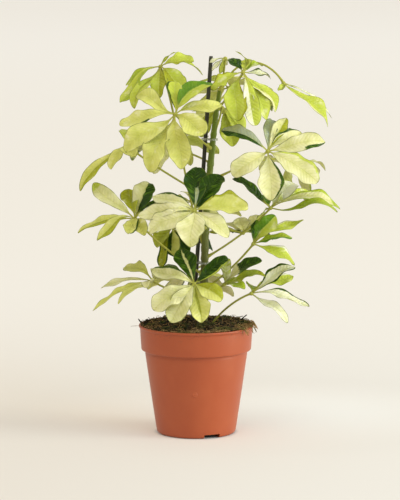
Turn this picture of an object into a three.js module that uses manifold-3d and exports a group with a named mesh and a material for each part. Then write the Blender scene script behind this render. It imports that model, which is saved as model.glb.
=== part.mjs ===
// A young variegated dwarf umbrella plant in a plastic nursery pot, standing on a table.
// Millimetres, +Z up, the viewer's side is -Y. The origin is the middle of the pot's foot.
//
// One woody stem grows out of the potting soil beside a thin dyed stake, and two clear clips hold
// them together. Each palmate leaf is one solid: a petiole that clasps the stem, a small hub, and
// five to nine stalked leaflets that spread from the hub like the ribs of an umbrella.

import * as THREE from "three";
import { mergeVertices } from "three/addons/utils/BufferGeometryUtils.js";
import Module from "manifold-3d";

const wasm = await Module();
wasm.setup();

// Driving dimensions
const GAP = 0.3; // between pieces that touch on the real plant

const POT = {
  height: 114,
  footRadius: 41.4,
  wallTopRadius: 54, // just under the rim band
  bandHeight: 26,
  bandLowRadius: 57.2,
  rimRadius: 60,
  lip: 1.2, // how far the lip stands out at the very top
  wall: 1.2,
  floor: 1.5,
  sides: 40,
};
const MARK = { x: -1.3, z: 48, radius: 2.6, stands: 0.4 }; // the round mark where the mould was fed
const DRAIN = {
  channels: 3,
  firstAngle: -66, // degrees from +X: the channel that shows in front, to the right
  width: 17.5,
  height: 4.2,
  innerRadius: 14,
  holeRadius: 4,
  holeAt: 28,
};
const SOIL = { edge: 112.6, crown: 115.4, lumps: 1.6, sides: 30 };

const STEM = {
  // centre line, bottom to top, then the radius there
  line: [
    [8, 3, 40],
    [8, 3, 114],
    [8.6, 3, 165],
    [9.4, 3, 205],
    [11.5, 4, 245],
    [15.2, 5, 285],
    [19.6, 6, 325],
    [25, 6, 362],
  ],
  radii: [4.4, 4.3, 4.0, 3.7, 3.5, 3.3, 2.8, 2.0],
  sides: 9,
  steps: 16,
};
const STAKE = { foot: [-10.5, 8, 14], top: [15.4, 10, 393], radius: 2.1, sides: 8 };
const CLIP = { heights: [178, 307], wall: 1.4, thick: 2.2, play: 0.35 };

const PETIOLE = { radius: 1.2, flare: 2.3, sides: 5, steps: 7 };
const HUB_RADIUS = 3;
const LEAST_EDGE = 0.1; // slivers smaller than this are closed up
const BLADE = {
  thick: 0.75,
  stations: [0, 0.15, 0.38, 0.67, 0.92, 1], // from the middle of the hub to the tip
  wideStations: [0, 0.15, 0.34, 0.56, 0.78, 0.94, 1], // of a leaflet at least `wide` across
  wide: 20,
  stalk: 0.15, // share of the leaflet that is its bare stalk
  stalkWidth: 2.2,
  fold: 0.2, // how steeply the two halves rise from the midrib
  wave: 1.0, // how far the edges rise and fall
  waves: 1.5, // along one edge
};

// The leaves. `joint` is the height on the stem where the petiole starts, `hub` is where the
// leaflets meet, `up` is the way the leaf's upper side faces, `width` is that of a plain leaflet.
// Each leaflet is the place of its tip from the hub, then optionally its own width, its arch and its
// sway: the shares of its length by which it bows upwards and sideways.
const LEAVES = [
  {
    name: "leaf_upper_left",
    joint: 297,
    hub: [-21, -45, 337],
    up: [-0.15, -0.8, 0.58],
    width: 26,
    leaflets: [
      [1, 26, 32, 16],
      [36, 18, 32, 23, 0.1, -0.1],
      [48, 9, 10, 18],
      [30, -30, -18, 25],
      [6, -20, -54, 25],
      [-27, -20, -57, 25],
      [-51, -10, -39, 25],
      [-58, 8, -11, 18],
      [-41, 22, 18, 19],
    ],
  },
  {
    name: "leaf_top_left",
    tint: "yellowGreen",
    joint: 192,
    hub: [-37, 12, 382],
    up: [-0.25, -0.45, 0.86],
    bend: [
      [-10, 6, 238],
      [-20, 10, 340],
    ],
    width: 14,
    leaflets: [
      [-37, 18, -21, 15],
      [-42, -14, -36, 17],
      [-27, -26, -42, 18],
      [-1, -24, -31, 18],
      [24, -20, -25, 23],
      [35, -6, 6, 21],
      [44, 20, -10, 9, 0.22],
      [17, 34, 13, 2.6],
    ],
  },
  {
    name: "leaf_mid_left",
    joint: 246,
    hub: [-72, 6, 301],
    up: [-0.3, -0.6, 0.74],
    leave: [-0.75, -0.4, 0.52],
    width: 19,
    leaflets: [
      [-49, -14, -47, 14, 0.12],
      [-16, -32, -22, 15],
      [9, -34, -9, 16],
      [36, 26, -2],
      [4, 44, 12],
    ],
  },
  {
    name: "leaf_left",
    joint: 165,
    hub: [-63, -15, 226],
    up: [-0.1, -0.6, 0.79],
    width: 18,
    leaflets: [
      [-45, 22, 36, 17, 0.1, -0.08],
      [-8, 28, 29, 19],
      [14, 30, 36, 22],
      [-60, 6, -14, 14, 0.14],
      [-39, -20, -19, 13, 0.24],
      [-5, -36, -10, 15],
      [11, -34, -12, 15],
      [34, 18, -6, 16],
      [26, 24, 19, 9],
    ],
  },
  {
    name: "leaf_centre_front",
    joint: 214,
    hub: [-2, -58, 240],
    up: [0, -0.72, 0.69],
    width: 24,
    leaflets: [
      [3, 34, 42, 25],
      [29, 26, 33, 24],
      [56, 8, 4, 27],
      [36, -14, -26, 21],
      [-4, -26, -34, 30],
      [-47, -8, -22, 24],
      [-57, 8, -6, 18],
      [-43, 22, 13, 18],
    ],
  },
  {
    name: "leaf_low_left",
    joint: 139,
    hub: [-45, -12, 161],
    up: [-0.3, -0.35, 0.88],
    width: 14,
    leaflets: [
      [-30, 30, 11, 19, 0.18],
      [-56, 12, -9, 13],
      [-63, -8, -30, 13],
      [-36, -28, -19, 12],
      [-5, -36, -2],
      [7, 34, 8, 10],
      [22, 34, 6],
    ],
  },
  {
    name: "leaf_low_front",
    joint: 128,
    hub: [-2, -38, 162],
    up: [-0.05, -0.8, 0.6],
    width: 22,
    leaflets: [
      [-45, 18, 12, 17],
      [-42, -14, -26, 25],
      [-24, -22, -37, 25],
      [8, -20, -37, 22],
      [30, -14, -15, 21],
      [-14, 30, 33, 21],
      [36, 16, 25, 16],
    ],
  },
  {
    name: "leaf_top_right",
    tint: "yellowGreen",
    joint: 338,
    hub: [48, -18, 378],
    up: [0, -0.45, 0.89],
    width: 20,
    leaflets: [
      [-33, -8, -18, 16],
      [-6, -20, -50, 23, 0.1, 0.09],
      [12, -24, -54, 18],
      [24, -14, -48, 17],
      [35, -4, -42, 16],
      [29, 12, -7, 14, 0.1],
      [20, 13, 6, 11, 0.2],
      [-14, 8, 14, 13],
      [6, 16, 13, 12],
      [-8, 4, 22, 2.4, 0, 0.36],
    ],
  },
  {
    name: "leaf_top_far_right",
    tint: "yellowGreen",
    joint: 346,
    hub: [90, -5, 366],
    up: [0.5, -0.55, 0.67],
    bend: [
      [36, 15, 399],
      [73, 10, 394],
    ],
    width: 12,
    leaflets: [
      [46, -12, -44, 13, 0.14],
      [51, 14, -37, 7, 0.12],
      [-6, -10, -7, 4],
      [-3, 14, -8, 5],
    ],
  },
  {
    name: "leaf_young",
    joint: 357,
    hub: [30, 2, 391],
    up: [0, -0.3, 0.95],
    width: 5,
    leaflets: [
      [-17, -6, -4],
      [-14, -10, -12],
      [-6, -12, -15],
      [9, 9, -6],
      [1, 15, -8],
    ],
  },
  {
    name: "leaf_upper_right",
    joint: 265,
    hub: [73, -42, 299],
    up: [0.1, -0.78, 0.6],
    width: 24,
    leaflets: [
      [-48, 20, 20, 17, 0.2],
      [4, 30, 32, 15],
      [20, 30, 32, 14],
      [35, 24, 18, 19],
      [59, 8, 9, 20],
      [51, -10, -31, 27],
      [3, -18, -50, 26],
      [-36, -10, -25, 23],
    ],
  },
  {
    name: "leaf_mid_right",
    tint: "yellowGreen",
    joint: 183,
    hub: [77, -8, 237],
    up: [0.1, -0.5, 0.86],
    width: 20,
    leaflets: [
      [69, -10, -3, 13],
      [73, 16, -3, 19, 0.22],
      [-41, 16, 30, 13],
      [26, 30, 23, 24],
      [44, 40, 12, 18],
      [-6, 30, 11, 14],
      [-13, 16, -16, 14],
    ],
  },
  {
    name: "leaf_right",
    tint: "yellowGreen",
    joint: 150,
    hub: [59, -20, 201],
    up: [0.1, -0.6, 0.79],
    width: 16,
    leaflets: [
      [23, 4, 29, 21],
      [3, 8, 25, 9],
      [53, 14, 24, 11],
      [41, -8, 8, 13],
      [43, -6, -21, 19],
    ],
  },
  {
    name: "leaf_low_right",
    joint: 101,
    hub: [57, -25, 150],
    up: [0.2, -0.45, 0.87],
    bend: [
      [22, -3, 128],
      [44, -20, 145],
    ],
    width: 16,
    leaflets: [
      [60, -10, -12, 19],
      [37, -24, -27, 14],
      [46, 10, 27, 18],
      [44, 26, 15, 16],
      [3, 30, 4],
    ],
  },
  {
    name: "leaf_low_inner",
    tint: "green",
    joint: 147,
    hub: [29, -15, 158],
    up: [0.1, -0.5, 0.86],
    width: 16,
    leaflets: [
      [21, -24, -1, 12],
      [43, -10, 11, 16],
      [5, -6, 28, 11],
      [39, -16, 29, 22],
      [10, 32, 2],
    ],
  },
  {
    name: "leaf_inner_left",
    tint: "green",
    joint: 209,
    hub: [-25, 26, 213],
    up: [-0.35, -0.55, 0.76],
    leave: [0, 0.98, 0.2],
    width: 18,
    leaflets: [
      [-17, -10, -21, 22],
      [-12, -14, -42, 13],
      [2, -13, -30, 17],
      [17, -6, -28, 16],
      [-22, 24, -6],
      [8, 34, 6],
      [43, 14, -27, 15],
    ],
  },
  {
    name: "leaf_upper_back",
    tint: "yellowGreen",
    joint: 312,
    hub: [27, 29, 338],
    up: [-0.1, -0.5, 0.86],
    width: 20,
    leaflets: [
      [12, -6, -40, 21],
      [-24, -6, -30, 18],
      [22, -2, -26],
      [10, 32, -16],
      [-30, 22, -4],
    ],
  },
  {
    name: "leaf_right_inner",
    joint: 224,
    hub: [49, 16, 208],
    up: [0, -0.6, 0.8],
    width: 16,
    leaflets: [
      [-4, 6, 16, 18],
      [-38, -3, 18, 3, -0.12],
      [-38, 6, 0, 12],
      [-12, 1, 1, 5],
      [22, 16, 14],
      [-14, 30, 6, 14],
      [12, 36, 4],
      [32, 26, -8],
    ],
  },
  {
    name: "leaf_back_upper_right",
    joint: 259,
    hub: [99, 52, 281],
    up: [0.35, 0.4, 0.85],
    bend: [
      [34, 20, 276],
      [74, 46, 287],
    ],
    width: 20,
    leaflets: [
      [39, 6, -12, 14],
      [30, 34, -20],
      [0, 50, -18],
      [-32, 38, -14],
      [-14, -16, -38],
      [16, -6, -44],
    ],
  },
];

// Leaves on the far side of the stem: their leaflets are an even fan round the hub.
const BACK_LEAVES = [
  {
    name: "leaf_back_upper_left",
    joint: 281,
    hub: [-28, 66, 300],
    up: [-0.1, 0.5, 0.86],
    leave: [-0.2, 1, 0.2],
    turn: 10,
  },
  {
    name: "leaf_back_middle",
    joint: 194,
    hub: [-2, 72, 234],
    up: [0, 0.55, 0.84],
    turn: 5,
  },
  {
    name: "leaf_back_low",
    joint: 157,
    hub: [-8, 62, 156],
    up: [0, 0.5, 0.86],
    turn: 20,
  },
  {
    name: "leaf_back_top",
    joint: 332,
    hub: [34, 70, 356],
    up: [0, 0.55, 0.83],
    leave: [0.1, 0.6, 0.8],
    turn: 25,
  },
];
const FAN = { count: 7, reach: 52, shorter: 0.14, droop: 0.3, width: 23 };

// Solids and meshes

// A closed geometry as a solid that can be joined and cut.
function solidOf(geometry) {
  const bare = geometry.index ? geometry.toNonIndexed() : geometry.clone();
  const open = new THREE.BufferGeometry().setAttribute("position", bare.getAttribute("position"));
  const merged = mergeVertices(open, 1e-3);
  const made = new wasm.Manifold(
    new wasm.Mesh({
      numProp: 3,
      vertProperties: merged.attributes.position.array,
      triVerts: new Uint32Array(merged.index.array),
    }),
  );
  return made;
}

// A solid as a named mesh with its own material.
function meshOf(name, solid, material) {
  const result = solid.getMesh();
  const geometry = new THREE.BufferGeometry();
  geometry.setAttribute("position", new THREE.BufferAttribute(result.vertProperties, 3));
  geometry.setIndex(new THREE.BufferAttribute(result.triVerts, 1));
  geometry.computeVertexNormals();
  const mesh = new THREE.Mesh(geometry, material);
  mesh.name = name;
  return mesh;
}

// A profile of [radius, height] pairs that starts and ends on the axis, turned round +Z.
function turned(profile, sides) {
  const points = profile.map(([radius, height]) => new THREE.Vector2(radius, height));
  return new THREE.LatheGeometry(points, sides).rotateX(Math.PI / 2);
}

// A box given by its two corners.
function block(low, high) {
  const size = high.map((value, axis) => value - low[axis]);
  const middle = high.map((value, axis) => (value + low[axis]) / 2);
  return new THREE.BoxGeometry(...size).translate(...middle);
}

const finish = (color, roughness) => new THREE.MeshStandardMaterial({ color, roughness, metalness: 0 });

// Pot

function makePot() {
  const { height, footRadius, wallTopRadius, bandHeight, bandLowRadius, rimRadius, lip, wall, floor } = POT;
  const step = height - bandHeight;
  const outside = [
    [0, 0],
    [footRadius - 2, 0],
    [footRadius, 1.6],
    [wallTopRadius, step - 1],
    [bandLowRadius, step + 1],
    [rimRadius - lip, height - 2.4],
    [rimRadius, height - 1.2],
    [rimRadius - 0.5, height],
    [0, height],
  ];
  const above = height + 2;
  const cavity = [
    [0, floor],
    [footRadius - wall - 1.5, floor],
    [wallTopRadius - wall, step + 0.4],
    [bandLowRadius - wall, step + 2.4],
    [rimRadius - lip - wall, above],
    [0, above],
  ];
  const turn = (geometry, index) =>
    geometry.rotateZ(THREE.MathUtils.degToRad(DRAIN.firstAngle + (360 / DRAIN.channels) * index));
  const outer = rimRadius + 5;
  const roof = DRAIN.height + floor;
  const halfWidth = DRAIN.width / 2;

  let hollow = solidOf(turned(cavity, POT.sides));
  let body = solidOf(turned(outside, POT.sides));
  for (let index = 0; index < DRAIN.channels; index += 1) {
    const raised = block(
      [DRAIN.innerRadius - wall, -halfWidth - wall, 0],
      [outer, halfWidth + wall, roof],
    );
    hollow = hollow.subtract(solidOf(turn(raised, index)));
  }
  body = body.subtract(hollow);
  for (let index = 0; index < DRAIN.channels; index += 1) {
    const channel = block([DRAIN.innerRadius, -halfWidth, -1], [outer, halfWidth, DRAIN.height]);
    const hole = new THREE.CylinderGeometry(DRAIN.holeRadius, DRAIN.holeRadius, 2 * roof, 12)
      .rotateX(Math.PI / 2)
      .translate(DRAIN.holeAt, 0, roof / 2);
    body = body.subtract(solidOf(turn(channel, index))).subtract(solidOf(turn(hole, index)));
  }
  const wallAtMark = THREE.MathUtils.lerp(footRadius, wallTopRadius, MARK.z / step);
  const mark = new THREE.CylinderGeometry(MARK.radius, MARK.radius, wall / 2 + MARK.stands, 12)
    .translate(MARK.x, -wallAtMark + wall / 4 - MARK.stands / 2, MARK.z);
  return body.add(solidOf(mark));
}

// Stem, stake and clips

const stemCurve = new THREE.CatmullRomCurve3(STEM.line.map((point) => new THREE.Vector3(...point)));

// The stem's centre and radius at a height, found along its curve.
function stemAt(height) {
  const { line, radii } = STEM;
  const last = line.length - 1;
  let index = 0;
  while (index < last - 1 && height > line[index + 1][2]) index += 1;
  const span = line[index + 1][2] - line[index][2];
  const share = THREE.MathUtils.clamp((height - line[index][2]) / span, 0, 1);
  const radius = THREE.MathUtils.lerp(radii[index], radii[index + 1], share);
  return { centre: stemCurve.getPoint((index + share) / last), radius };
}

// An upright cylinder bent to follow the stem, `extra` mm thicker all round.
function stemSolid(extra = 0) {
  const low = STEM.line[0][2] - extra;
  const high = STEM.line.at(-1)[2] + extra;
  const rod = new THREE.CylinderGeometry(1, 1, 1, STEM.sides, STEM.steps).rotateX(Math.PI / 2);
  const place = rod.getAttribute("position");
  for (let i = 0; i < place.count; i += 1) {
    const height = THREE.MathUtils.lerp(low, high, place.getZ(i) + 0.5);
    const { centre, radius } = stemAt(height);
    const wide = radius + extra;
    place.setXYZ(i, centre.x + place.getX(i) * wide, centre.y + place.getY(i) * wide, height);
  }
  return solidOf(rod);
}

function stakeSolid(extra = 0) {
  const foot = new THREE.Vector3(...STAKE.foot);
  const top = new THREE.Vector3(...STAKE.top);
  const along = top.clone().sub(foot);
  const radius = STAKE.radius + extra;
  const rod = new THREE.CylinderGeometry(radius, radius, along.length() + 2 * extra, STAKE.sides);
  rod.applyQuaternion(
    new THREE.Quaternion().setFromUnitVectors(new THREE.Vector3(0, 1, 0), along.clone().normalize()),
  );
  rod.translate(...foot.add(top).multiplyScalar(0.5).toArray());
  return solidOf(rod);
}

function stakeAt(height) {
  const share = (height - STAKE.foot[2]) / (STAKE.top[2] - STAKE.foot[2]);
  return new THREE.Vector3(...STAKE.foot).lerp(new THREE.Vector3(...STAKE.top), share);
}

// A flat clip with one round hole for the stake and one for the stem.
function clipSolid(height) {
  const stake = stakeAt(height);
  const stem = stemAt(height);
  const stakeHole = STAKE.radius + GAP + CLIP.play;
  const stemHole = stem.radius + GAP + CLIP.play;
  const disc = (centre, radius, tall) =>
    new THREE.CylinderGeometry(radius, radius, tall, 10)
      .rotateX(Math.PI / 2)
      .translate(centre.x, centre.y, height);
  const apart = stem.centre.clone().sub(stake);
  const bridge = new THREE.BoxGeometry(Math.hypot(apart.x, apart.y), 2 * CLIP.wall, CLIP.thick)
    .rotateZ(Math.atan2(apart.y, apart.x))
    .translate((stake.x + stem.centre.x) / 2, (stake.y + stem.centre.y) / 2, height);
  return solidOf(disc(stake, stakeHole + CLIP.wall, CLIP.thick))
    .add(solidOf(disc(stem.centre, stemHole + CLIP.wall, CLIP.thick)))
    .add(solidOf(bridge))
    .subtract(solidOf(disc(stake, stakeHole, 2 * CLIP.thick)))
    .subtract(solidOf(disc(stem.centre, stemHole, 2 * CLIP.thick)));
}

// Leaves

// The petiole's path, nearly straight: it leaves the stem a little outwards and meets the hub from
// below. `bend` gives the two inner points of the curve outright.
function petiolePath(leaf) {
  const start = stemAt(leaf.joint).centre;
  const end = new THREE.Vector3(...leaf.hub);
  if (leaf.bend) {
    const inner = leaf.bend.map((point) => new THREE.Vector3(...point));
    return new THREE.CubicBezierCurve3(start, ...inner, end);
  }
  const reach = start.distanceTo(end);
  const chord = end.clone().sub(start).normalize();
  const level = new THREE.Vector3(chord.x, chord.y, 0).normalize();
  const leave = chord.clone().addScaledVector(level, 0.25);
  if (leaf.leave) leave.set(...leaf.leave);
  const arrive = chord.clone().addScaledVector(new THREE.Vector3(...leaf.up), 0.4);
  if (leaf.arrive) arrive.set(...leaf.arrive);
  return new THREE.CubicBezierCurve3(
    start,
    start.clone().addScaledVector(leave.normalize(), reach * 0.36),
    end.clone().addScaledVector(arrive.normalize(), -reach * 0.3),
    end,
  );
}

// A slim rod bent along the path. It flares where it clasps the stem.
function petioleSolid(leaf, extra = 0) {
  const path = petiolePath(leaf);
  const rod = new THREE.CylinderGeometry(1, 1, 1, PETIOLE.sides, PETIOLE.steps);
  const place = rod.getAttribute("position");
  const chord = path.v3.clone().sub(path.v0).normalize();
  const level = new THREE.Vector3(0, 0, 1).cross(chord).normalize();
  for (let i = 0; i < place.count; i += 1) {
    const t = 0.5 - place.getY(i);
    const centre = path.getPoint(t);
    const along = path.getTangent(t);
    const side = level.clone().addScaledVector(along, -level.dot(along)).normalize();
    const over = along.clone().cross(side);
    const flare = Math.exp(-Math.pow((t * path.getLength()) / 7, 2));
    const radius = THREE.MathUtils.lerp(PETIOLE.radius, PETIOLE.flare, flare) + extra;
    centre.addScaledVector(side, place.getX(i) * radius).addScaledVector(over, place.getZ(i) * radius);
    place.setXYZ(i, centre.x, centre.y, centre.z);
  }
  return solidOf(rod);
}

// Half the leaflet's width at t, from 0 at the hub to 1 at the tip: a bare stalk, then a blade that
// is widest past its middle and ends bluntly.
function halfWidth(t, width) {
  const u = Math.max(0, (t - BLADE.stalk) / (1 - BLADE.stalk));
  const blade = Math.pow(Math.max(0, Math.sin(Math.PI * Math.pow(Math.min(u, 1), 1.35))), 0.64);
  return Math.max(BLADE.stalkWidth / 2, (width / 2) * blade);
}

// One leaflet as a closed strip of six-cornered sections that closes to an upright edge at the hub
// and at the tip. Each half is split into triangles in the same way above and below.
function leafletSolid(leaf, [dx, dy, dz, width = leaf.width, arch = 0.1, sway = 0]) {
  const hub = new THREE.Vector3(...leaf.hub);
  const reach = new THREE.Vector3(dx, dy, dz);
  const length = reach.length();
  const along = reach.clone().normalize();
  const up = new THREE.Vector3(...leaf.up);
  const over = up.addScaledVector(along, -up.dot(along)).normalize();
  const side = along.clone().cross(over);
  const place = [];
  const stations = width < BLADE.wide ? BLADE.stations : BLADE.wideStations;
  const rings = stations.map((t, station) => {
    const centre = hub.clone().addScaledVector(reach, t);
    centre.addScaledVector(over, 4 * arch * length * t * (1 - t));
    centre.addScaledVector(side, 4 * sway * length * t * (1 - t));
    const half = halfWidth(t, width);
    const lift = BLADE.fold * half;
    const turn = 2 * Math.PI * BLADE.waves * t + dx + dz;
    const wave = BLADE.wave * Math.sin(turn) * ((2 * half) / width);
    const [left, right] = [lift + wave, lift - wave];
    const ends = [[0, 0], [0, -BLADE.thick]];
    const stalk = [[-half, 0], [half, 0], [half, -BLADE.thick], [-half, -BLADE.thick]];
    const blade = [
      [-half, left],
      [0, 0],
      [half, right],
      [half, right - BLADE.thick],
      [0, -BLADE.thick],
      [-half, left - BLADE.thick],
    ];
    let section = blade;
    let corners = [0, 1, 2, 3, 4, 5];
    if (station === 1) {
      section = stalk;
      corners = [0, 0, 1, 2, 3, 3];
    }
    if (station === 0 || station === stations.length - 1) {
      section = ends;
      corners = [0, 0, 0, 1, 1, 1];
    }
    const first = place.length / 3;
    section.forEach(([across, above]) => {
      const point = centre.clone().addScaledVector(side, across).addScaledVector(over, above);
      place.push(point.x, point.y, point.z);
    });
    return corners.map((corner) => first + corner);
  });
  const faces = [];
  const face = (a, b, c) => {
    if (a !== b && b !== c && c !== a) faces.push(a, b, c);
  };
  for (let ring = 1; ring < rings.length; ring += 1) {
    for (let i = 0; i < 6; i += 1) {
      const next = (i + 1) % 6;
      const [a, b, c, d] = [rings[ring - 1][i], rings[ring - 1][next], rings[ring][next], rings[ring][i]];
      // the diagonal runs the same way on both faces
      if (i < 3) {
        face(a, b, c);
        face(a, c, d);
      } else {
        face(a, b, d);
        face(b, c, d);
      }
    }
  }
  const geometry = new THREE.BufferGeometry();
  geometry.setAttribute("position", new THREE.Float32BufferAttribute(place, 3));
  geometry.setIndex(faces);
  return solidOf(geometry);
}

// An even fan of drooping leaflets round the hub, every second one shorter.
function fanOf(leaf) {
  const up = new THREE.Vector3(...leaf.up).normalize();
  const first = new THREE.Vector3(1, 0, 0).addScaledVector(up, -up.x).normalize();
  const second = up.clone().cross(first);
  const leaflets = [];
  for (let i = 0; i < FAN.count; i += 1) {
    const angle = THREE.MathUtils.degToRad(leaf.turn + (360 / FAN.count) * i);
    const long = FAN.reach * (1 - FAN.shorter * (i % 2));
    const tip = first
      .clone()
      .multiplyScalar(Math.cos(angle) * long)
      .addScaledVector(second, Math.sin(angle) * long)
      .addScaledVector(up, -FAN.droop * long);
    leaflets.push([tip.x, tip.y, tip.z, FAN.width * (1 - FAN.shorter * (i % 2))]);
  }
  return leaflets;
}

// The whole leaf, with its petiole's end cut to clasp the stem.
function leafSolid(leaf, stemRoom) {
  const hub = new THREE.OctahedronGeometry(HUB_RADIUS).translate(...leaf.hub);
  const pieces = leaf.leaflets.map((leaflet) => leafletSolid(leaf, leaflet));
  const whole = wasm.Manifold.union([petioleSolid(leaf), solidOf(hub), ...pieces]);
  const shells = whole.subtract(stemRoom).simplify(LEAST_EDGE).decompose();
  return shells.sort((a, b) => b.volume() - a.volume())[0]; // without any void sealed between blades
}

// Soil: it fills the pot to the rim, with a lumpy top and plain holes for what stands in it.

function makeSoil(standing) {
  const { footRadius, wallTopRadius, bandHeight, bandLowRadius, rimRadius, lip, wall, floor, height } = POT;
  const step = height - bandHeight;
  const top = SOIL.edge;
  const share = (top - step) / bandHeight;
  const edgeRadius = THREE.MathUtils.lerp(bandLowRadius, rimRadius - lip, share) - wall - 2 * GAP;
  const rings = [1, 0.8, 0.6, 0.4, 0.2];
  const profile = [
    [0, floor + GAP],
    [footRadius - wall - 1.5 - 2 * GAP, floor + GAP],
    [wallTopRadius - wall - 2 * GAP, step],
    [bandLowRadius - wall - 2 * GAP, step + 3],
    ...rings.map((r) => [edgeRadius * r, top + (SOIL.crown - SOIL.edge) * (1 - r * r)]),
    [0, SOIL.crown],
  ];
  const body = turned(profile, SOIL.sides);
  const place = body.getAttribute("position");
  for (let i = 0; i < place.count; i += 1) {
    const [x, y, z] = [place.getX(i), place.getY(i), place.getZ(i)];
    const free = z > step + 4 ? Math.min(1, (edgeRadius + 4 - Math.hypot(x, y)) / 12) : 0;
    const lump = Math.sin(x * 0.31 + 1.3) * Math.cos(y * 0.27) + 0.6 * Math.sin(x * 0.13 - y * 0.41);
    place.setZ(i, z + SOIL.lumps * free * lump);
  }
  let soil = solidOf(body);
  const roof = DRAIN.height + floor + GAP;
  const room = DRAIN.width / 2 + wall + GAP;
  for (let index = 0; index < DRAIN.channels; index += 1) {
    const raised = block([DRAIN.innerRadius - wall - GAP, -room, 0], [rimRadius, room, roof]);
    raised.rotateZ(THREE.MathUtils.degToRad(DRAIN.firstAngle + (360 / DRAIN.channels) * index));
    soil = soil.subtract(solidOf(raised));
  }
  return soil.subtract(wasm.Manifold.union(standing));
}

// Assembly

const plant = new THREE.Group();

const potPlastic = finish("#b5613c", 0.5);
const soilPeat = finish("#3a2a1e", 0.95);
const stakeBlack = finish("#30322a", 0.7);
const stemBark = finish("#77853a", 0.6);
const clipClear = finish("#e6e8e2", 0.25);
const leafColors = { cream: "#d3d27c", yellowGreen: "#b7c252", green: "#5f7f2c" };

plant.add(meshOf("pot", makePot(), potPlastic));
plant.add(meshOf("stem", stemSolid(), stemBark));
plant.add(meshOf("stake", stakeSolid(), stakeBlack));
CLIP.heights.forEach((height, index) => {
  plant.add(meshOf(["clip_lower", "clip_upper"][index], clipSolid(height), clipClear));
});

const stemRoom = stemSolid(GAP);
const leaves = [...LEAVES, ...BACK_LEAVES.map((leaf) => ({ ...leaf, leaflets: fanOf(leaf) }))];
leaves.forEach((leaf) => {
  const color = leafColors[leaf.tint ?? "cream"];
  plant.add(meshOf(leaf.name, leafSolid(leaf, stemRoom), finish(color, 0.45)));
});

const buried = leaves.filter((leaf) => leaf.joint < SOIL.crown).map((leaf) => petioleSolid(leaf, GAP));
plant.add(meshOf("soil", makeSoil([stemRoom, stakeSolid(GAP), ...buried]), soilPeat));

export default plant;
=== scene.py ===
# %% [markdown]
# # A potted umbrella plant
#
# A young variegated dwarf umbrella plant in a terracotta-coloured plastic nursery pot. One woody
# stem leans on a thin dyed stick, and 23 leaves spread from it on long stalks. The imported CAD
# model is the frame: it says where every piece is. Each of its plain pieces is replaced here by a
# finer one in the same place. Lengths are written in millimetres and turned to metres when a mesh
# is made.

import bpy
import numpy as np
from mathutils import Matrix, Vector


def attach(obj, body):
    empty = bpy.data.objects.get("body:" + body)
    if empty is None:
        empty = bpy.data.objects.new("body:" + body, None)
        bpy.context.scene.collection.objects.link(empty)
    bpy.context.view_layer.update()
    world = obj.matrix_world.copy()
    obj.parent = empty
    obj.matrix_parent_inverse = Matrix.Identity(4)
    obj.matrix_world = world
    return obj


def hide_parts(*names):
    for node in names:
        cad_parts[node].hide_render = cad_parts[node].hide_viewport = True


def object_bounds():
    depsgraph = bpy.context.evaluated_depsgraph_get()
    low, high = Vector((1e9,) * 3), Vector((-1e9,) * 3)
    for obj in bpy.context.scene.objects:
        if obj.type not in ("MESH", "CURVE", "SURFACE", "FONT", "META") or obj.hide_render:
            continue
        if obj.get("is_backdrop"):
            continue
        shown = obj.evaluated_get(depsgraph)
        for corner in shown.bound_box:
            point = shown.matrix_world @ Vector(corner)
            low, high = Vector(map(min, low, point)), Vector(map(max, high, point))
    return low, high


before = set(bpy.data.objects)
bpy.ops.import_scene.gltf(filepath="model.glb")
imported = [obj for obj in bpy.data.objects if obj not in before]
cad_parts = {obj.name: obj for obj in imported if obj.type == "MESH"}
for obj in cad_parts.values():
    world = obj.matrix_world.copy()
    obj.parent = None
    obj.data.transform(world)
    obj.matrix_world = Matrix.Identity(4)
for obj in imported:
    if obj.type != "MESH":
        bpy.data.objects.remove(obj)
cad_low, cad_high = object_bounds()
MM = 0.001
print("solids in the frame:", len(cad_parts), "height:", round(cad_high.z, 3), "m")

# %% [markdown]
# ## The camera
#
# The picture was taken from far away with a long lens, which keeps the pot's sides nearly
# straight. The place and pitch were fitted to the ellipses of the pot's rim, band and foot.
# Blender gives the sensor's 36 mm to the longer side of the picture, so the lens is the focal
# length in pixels times 36 / 500.

# %% Camera
PHOTO_SIZE = (400, 500)
FOCAL_PIXELS = 2521
CAMERA_PLACE, PITCH_DOWN = (0.00396, -2.6, 0.539), 7.6  # metres, degrees


def placed(name, data):
    """A new object with this data, linked to the scene."""
    made = bpy.data.objects.new(name, data)
    bpy.context.scene.collection.objects.link(made)
    return made


camera = placed("camera", bpy.data.cameras.new("camera"))
camera.data.sensor_width = 36
camera.data.lens = FOCAL_PIXELS * camera.data.sensor_width / max(PHOTO_SIZE)
camera.data.clip_end = 100
camera.location = CAMERA_PLACE
camera.rotation_euler = (np.radians(90 - PITCH_DOWN), 0, 0)
bpy.context.scene.camera = camera
print("lens:", round(camera.data.lens, 1), "mm")

# %% [markdown]
# ## Colours and nodes
#
# Colours are written as the hex codes a colour picker shows, but Blender's nodes work with linear
# light, so one function turns them. Another small one adds a node and fills or links its sockets,
# which keeps each material a short list of steps. Sockets go by name or by number: a colour Mix
# has its share in 0 and its two colours in 6 and 7, and Map Range has its value in 0, the range
# that it reads in 1 and 2, and the range that it gives in 3 and 4.


# %% Colour and node helpers
COLOURS = {"data_type": "RGBA"}
SOFTLY = {"interpolation_type": "SMOOTHSTEP"}
TIMES = {"operation": "MULTIPLY"}
TIMES_PLUS = {"operation": "MULTIPLY_ADD"}


def linear(code):
    """Hex to linear light: up to 0.04045 the value over 12.92, above it ((value + 0.055) / 1.055)
    to the power 2.4."""
    srgb = np.array([int(code[i : i + 2], 16) / 255 for i in (1, 3, 5)])
    return np.where(srgb <= 0.04045, srgb / 12.92, ((srgb + 0.055) / 1.055) ** 2.4)


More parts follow.
